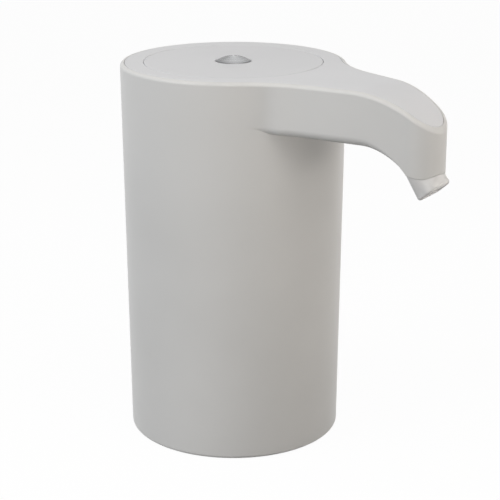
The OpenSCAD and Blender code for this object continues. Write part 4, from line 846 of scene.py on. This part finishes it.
# a white paper sweep that bounces less light than it shows, so the object keeps its shaded side
def buildStage():
    bm = bmesh.new()
    bmesh.ops.create_grid(bm, x_segments=2, y_segments=2, size=studio["floorHalf"])
    mesh = bpy.data.meshes.new("floor")
    bm.to_mesh(mesh)
    bm.free()
    floor = bpy.data.objects.new("floor", mesh)
    floor.location.z = -studio["floorDrop"]
    scene.collection.objects.link(floor)
    material, tree, shader = newMaterial("paper sweep")[:3]
    shader.inputs["Roughness"].default_value = studio["paperRough"]
    glow = addNode(tree, "ShaderNodeEmission", {"Color": grey(1.0), "Strength": 1.0})
    path = addNode(tree, "ShaderNodeLightPath")
    seen = addNode(tree, "ShaderNodeMath", {"operation": "MAXIMUM"},
                   {0: path.outputs["Is Camera Ray"], 1: path.outputs["Is Glossy Ray"]})
    paper = addNode(tree, "ShaderNodeValToRGB",
                    {"stops": [(0.0, toLinear(studio["paper"])), (1.0, grey(1.0))]},
                    {"Fac": seen.outputs["Value"]})
    tree.links.new(paper.outputs["Color"], shader.inputs["Base Color"])
    share = addNode(tree, "ShaderNodeMath", {"operation": "MULTIPLY", 1: studio["glow"]},
                    {0: seen.outputs["Value"]})
    mixed = addNode(tree, "ShaderNodeMixShader", links={"Fac": share.outputs["Value"]})
    tree.links.new(shader.outputs["BSDF"], mixed.inputs[1])
    tree.links.new(glow.outputs["Emission"], mixed.inputs[2])
    # clear from below, so that the foot can be looked at
    side = addNode(tree, "ShaderNodeNewGeometry").outputs["Backfacing"]
    clear = addNode(tree, "ShaderNodeBsdfTransparent").outputs["BSDF"]
    below = addNode(tree, "ShaderNodeMixShader",
                    links={"Fac": side, 1: mixed.outputs["Shader"], 2: clear})
    tree.links.new(below.outputs["Shader"], tree.nodes["Material Output"].inputs["Surface"])
    mesh.materials.append(material)

    world = bpy.data.worlds.new("studio")
    scene.world = world
    world.use_nodes = True
    tree = world.node_tree
    tree.nodes.clear()
    path = addNode(tree, "ShaderNodeLightPath")
    seen = addNode(tree, "ShaderNodeMath", {"operation": "MAXIMUM"},
                   {0: path.outputs["Is Camera Ray"], 1: path.outputs["Is Transmission Ray"]})
    seen = addNode(tree, "ShaderNodeMath", {"operation": "MAXIMUM"},
                   {0: seen.outputs["Value"], 1: path.outputs["Is Glossy Ray"]})
    level = addNode(tree, "ShaderNodeMapRange", {"To Min": studio["world"], "To Max": 1.0},
                    {"Value": seen.outputs["Value"]})
    sky = addNode(tree, "ShaderNodeBackground", {"Color": grey(1.0)},
                  {"Strength": level.outputs["Result"]})
    addNode(tree, "ShaderNodeOutputWorld", links={"Surface": sky.outputs["Background"]})


def addLamp(name, place, aim, size, power, tint, spread=180.0, glint=True):
    light = bpy.data.lights.new(name, "AREA")
    light.color = toLinear(tint)[:3]
    light.shape, light.size, light.size_y, light.energy = "RECTANGLE", size[0], size[1], power
    light.spread = math.radians(spread)  # under 180 the lamp has a grid
    lamp = bpy.data.objects.new(name, light)
    lamp.location = place
    lamp.rotation_euler = (Vector(aim) - Vector(place)).to_track_quat("-Z", "Y").to_euler()
    lamp.visible_camera, lamp.visible_glossy = False, glint
    scene.collection.objects.link(lamp)


# the photograph was taken from the arm's right, a little above
shot = dict(turn=43.33, distance=0.51214, height=0.22602, pitch=0.3073, yaw=0.011, lens=109.5,
            sensor=36.0, nearest=0.01, farthest=20.0)

turn = Matrix.Rotation(math.radians(shot["turn"]), 3, "Z")
camera = bpy.data.objects.new("camera", bpy.data.cameras.new("camera"))
camera.data.lens, camera.data.sensor_width = shot["lens"], shot["sensor"]
camera.data.clip_start, camera.data.clip_end = shot["nearest"], shot["farthest"]
camera.location = turn @ Vector((0, -shot["distance"], shot["height"]))
yaw, pitch = shot["yaw"], shot["pitch"]
ahead = Vector((math.sin(yaw) * math.cos(pitch), math.cos(yaw) * math.cos(pitch), -math.sin(pitch)))
camera.rotation_euler = (turn @ ahead).to_track_quat("-Z", "Y").to_euler()
scene.collection.objects.link(camera)
scene.camera = camera

buildStage()
middle, armLevel = (0.01, 0, 0.07), (0.01, 0, 0.125)
lamps = [
    dict(name="key softbox", place=Vector((0.37, -0.12, 0.81)), aim=middle, size=(0.7, 0.7),
         power=3.12, tint="#fffaf4"),
    dict(name="left softbox", place=turn @ Vector((-0.55, -0.3, 0.4)), aim=middle, size=(0.45, 0.55),
         power=2.95, tint="#fbfcff"),
    dict(name="right fill", place=turn @ Vector((0.5, -0.5, 0.07)), aim=armLevel, size=(0.5, 0.12),
         power=0.096, tint="#fff7f0", spread=40.0),
    dict(name="far fill", place=turn @ Vector((0.75, 0.05, 0.07)), aim=armLevel, size=(0.5, 0.12),
         power=0.09, tint="#fff7f0", spread=40.0),
    dict(name="back fill", place=turn @ Vector((0.0, 1.7, 0.06)), aim=middle, size=(0.95, 0.11),
         power=9.5, tint="#fbfcff", glint=False),  # no glint over the rim
]
for lamp in lamps:
    addLamp(**lamp)
scene.view_settings.view_transform = "Standard"
print("stage ready:", len(lamps), "lamps")
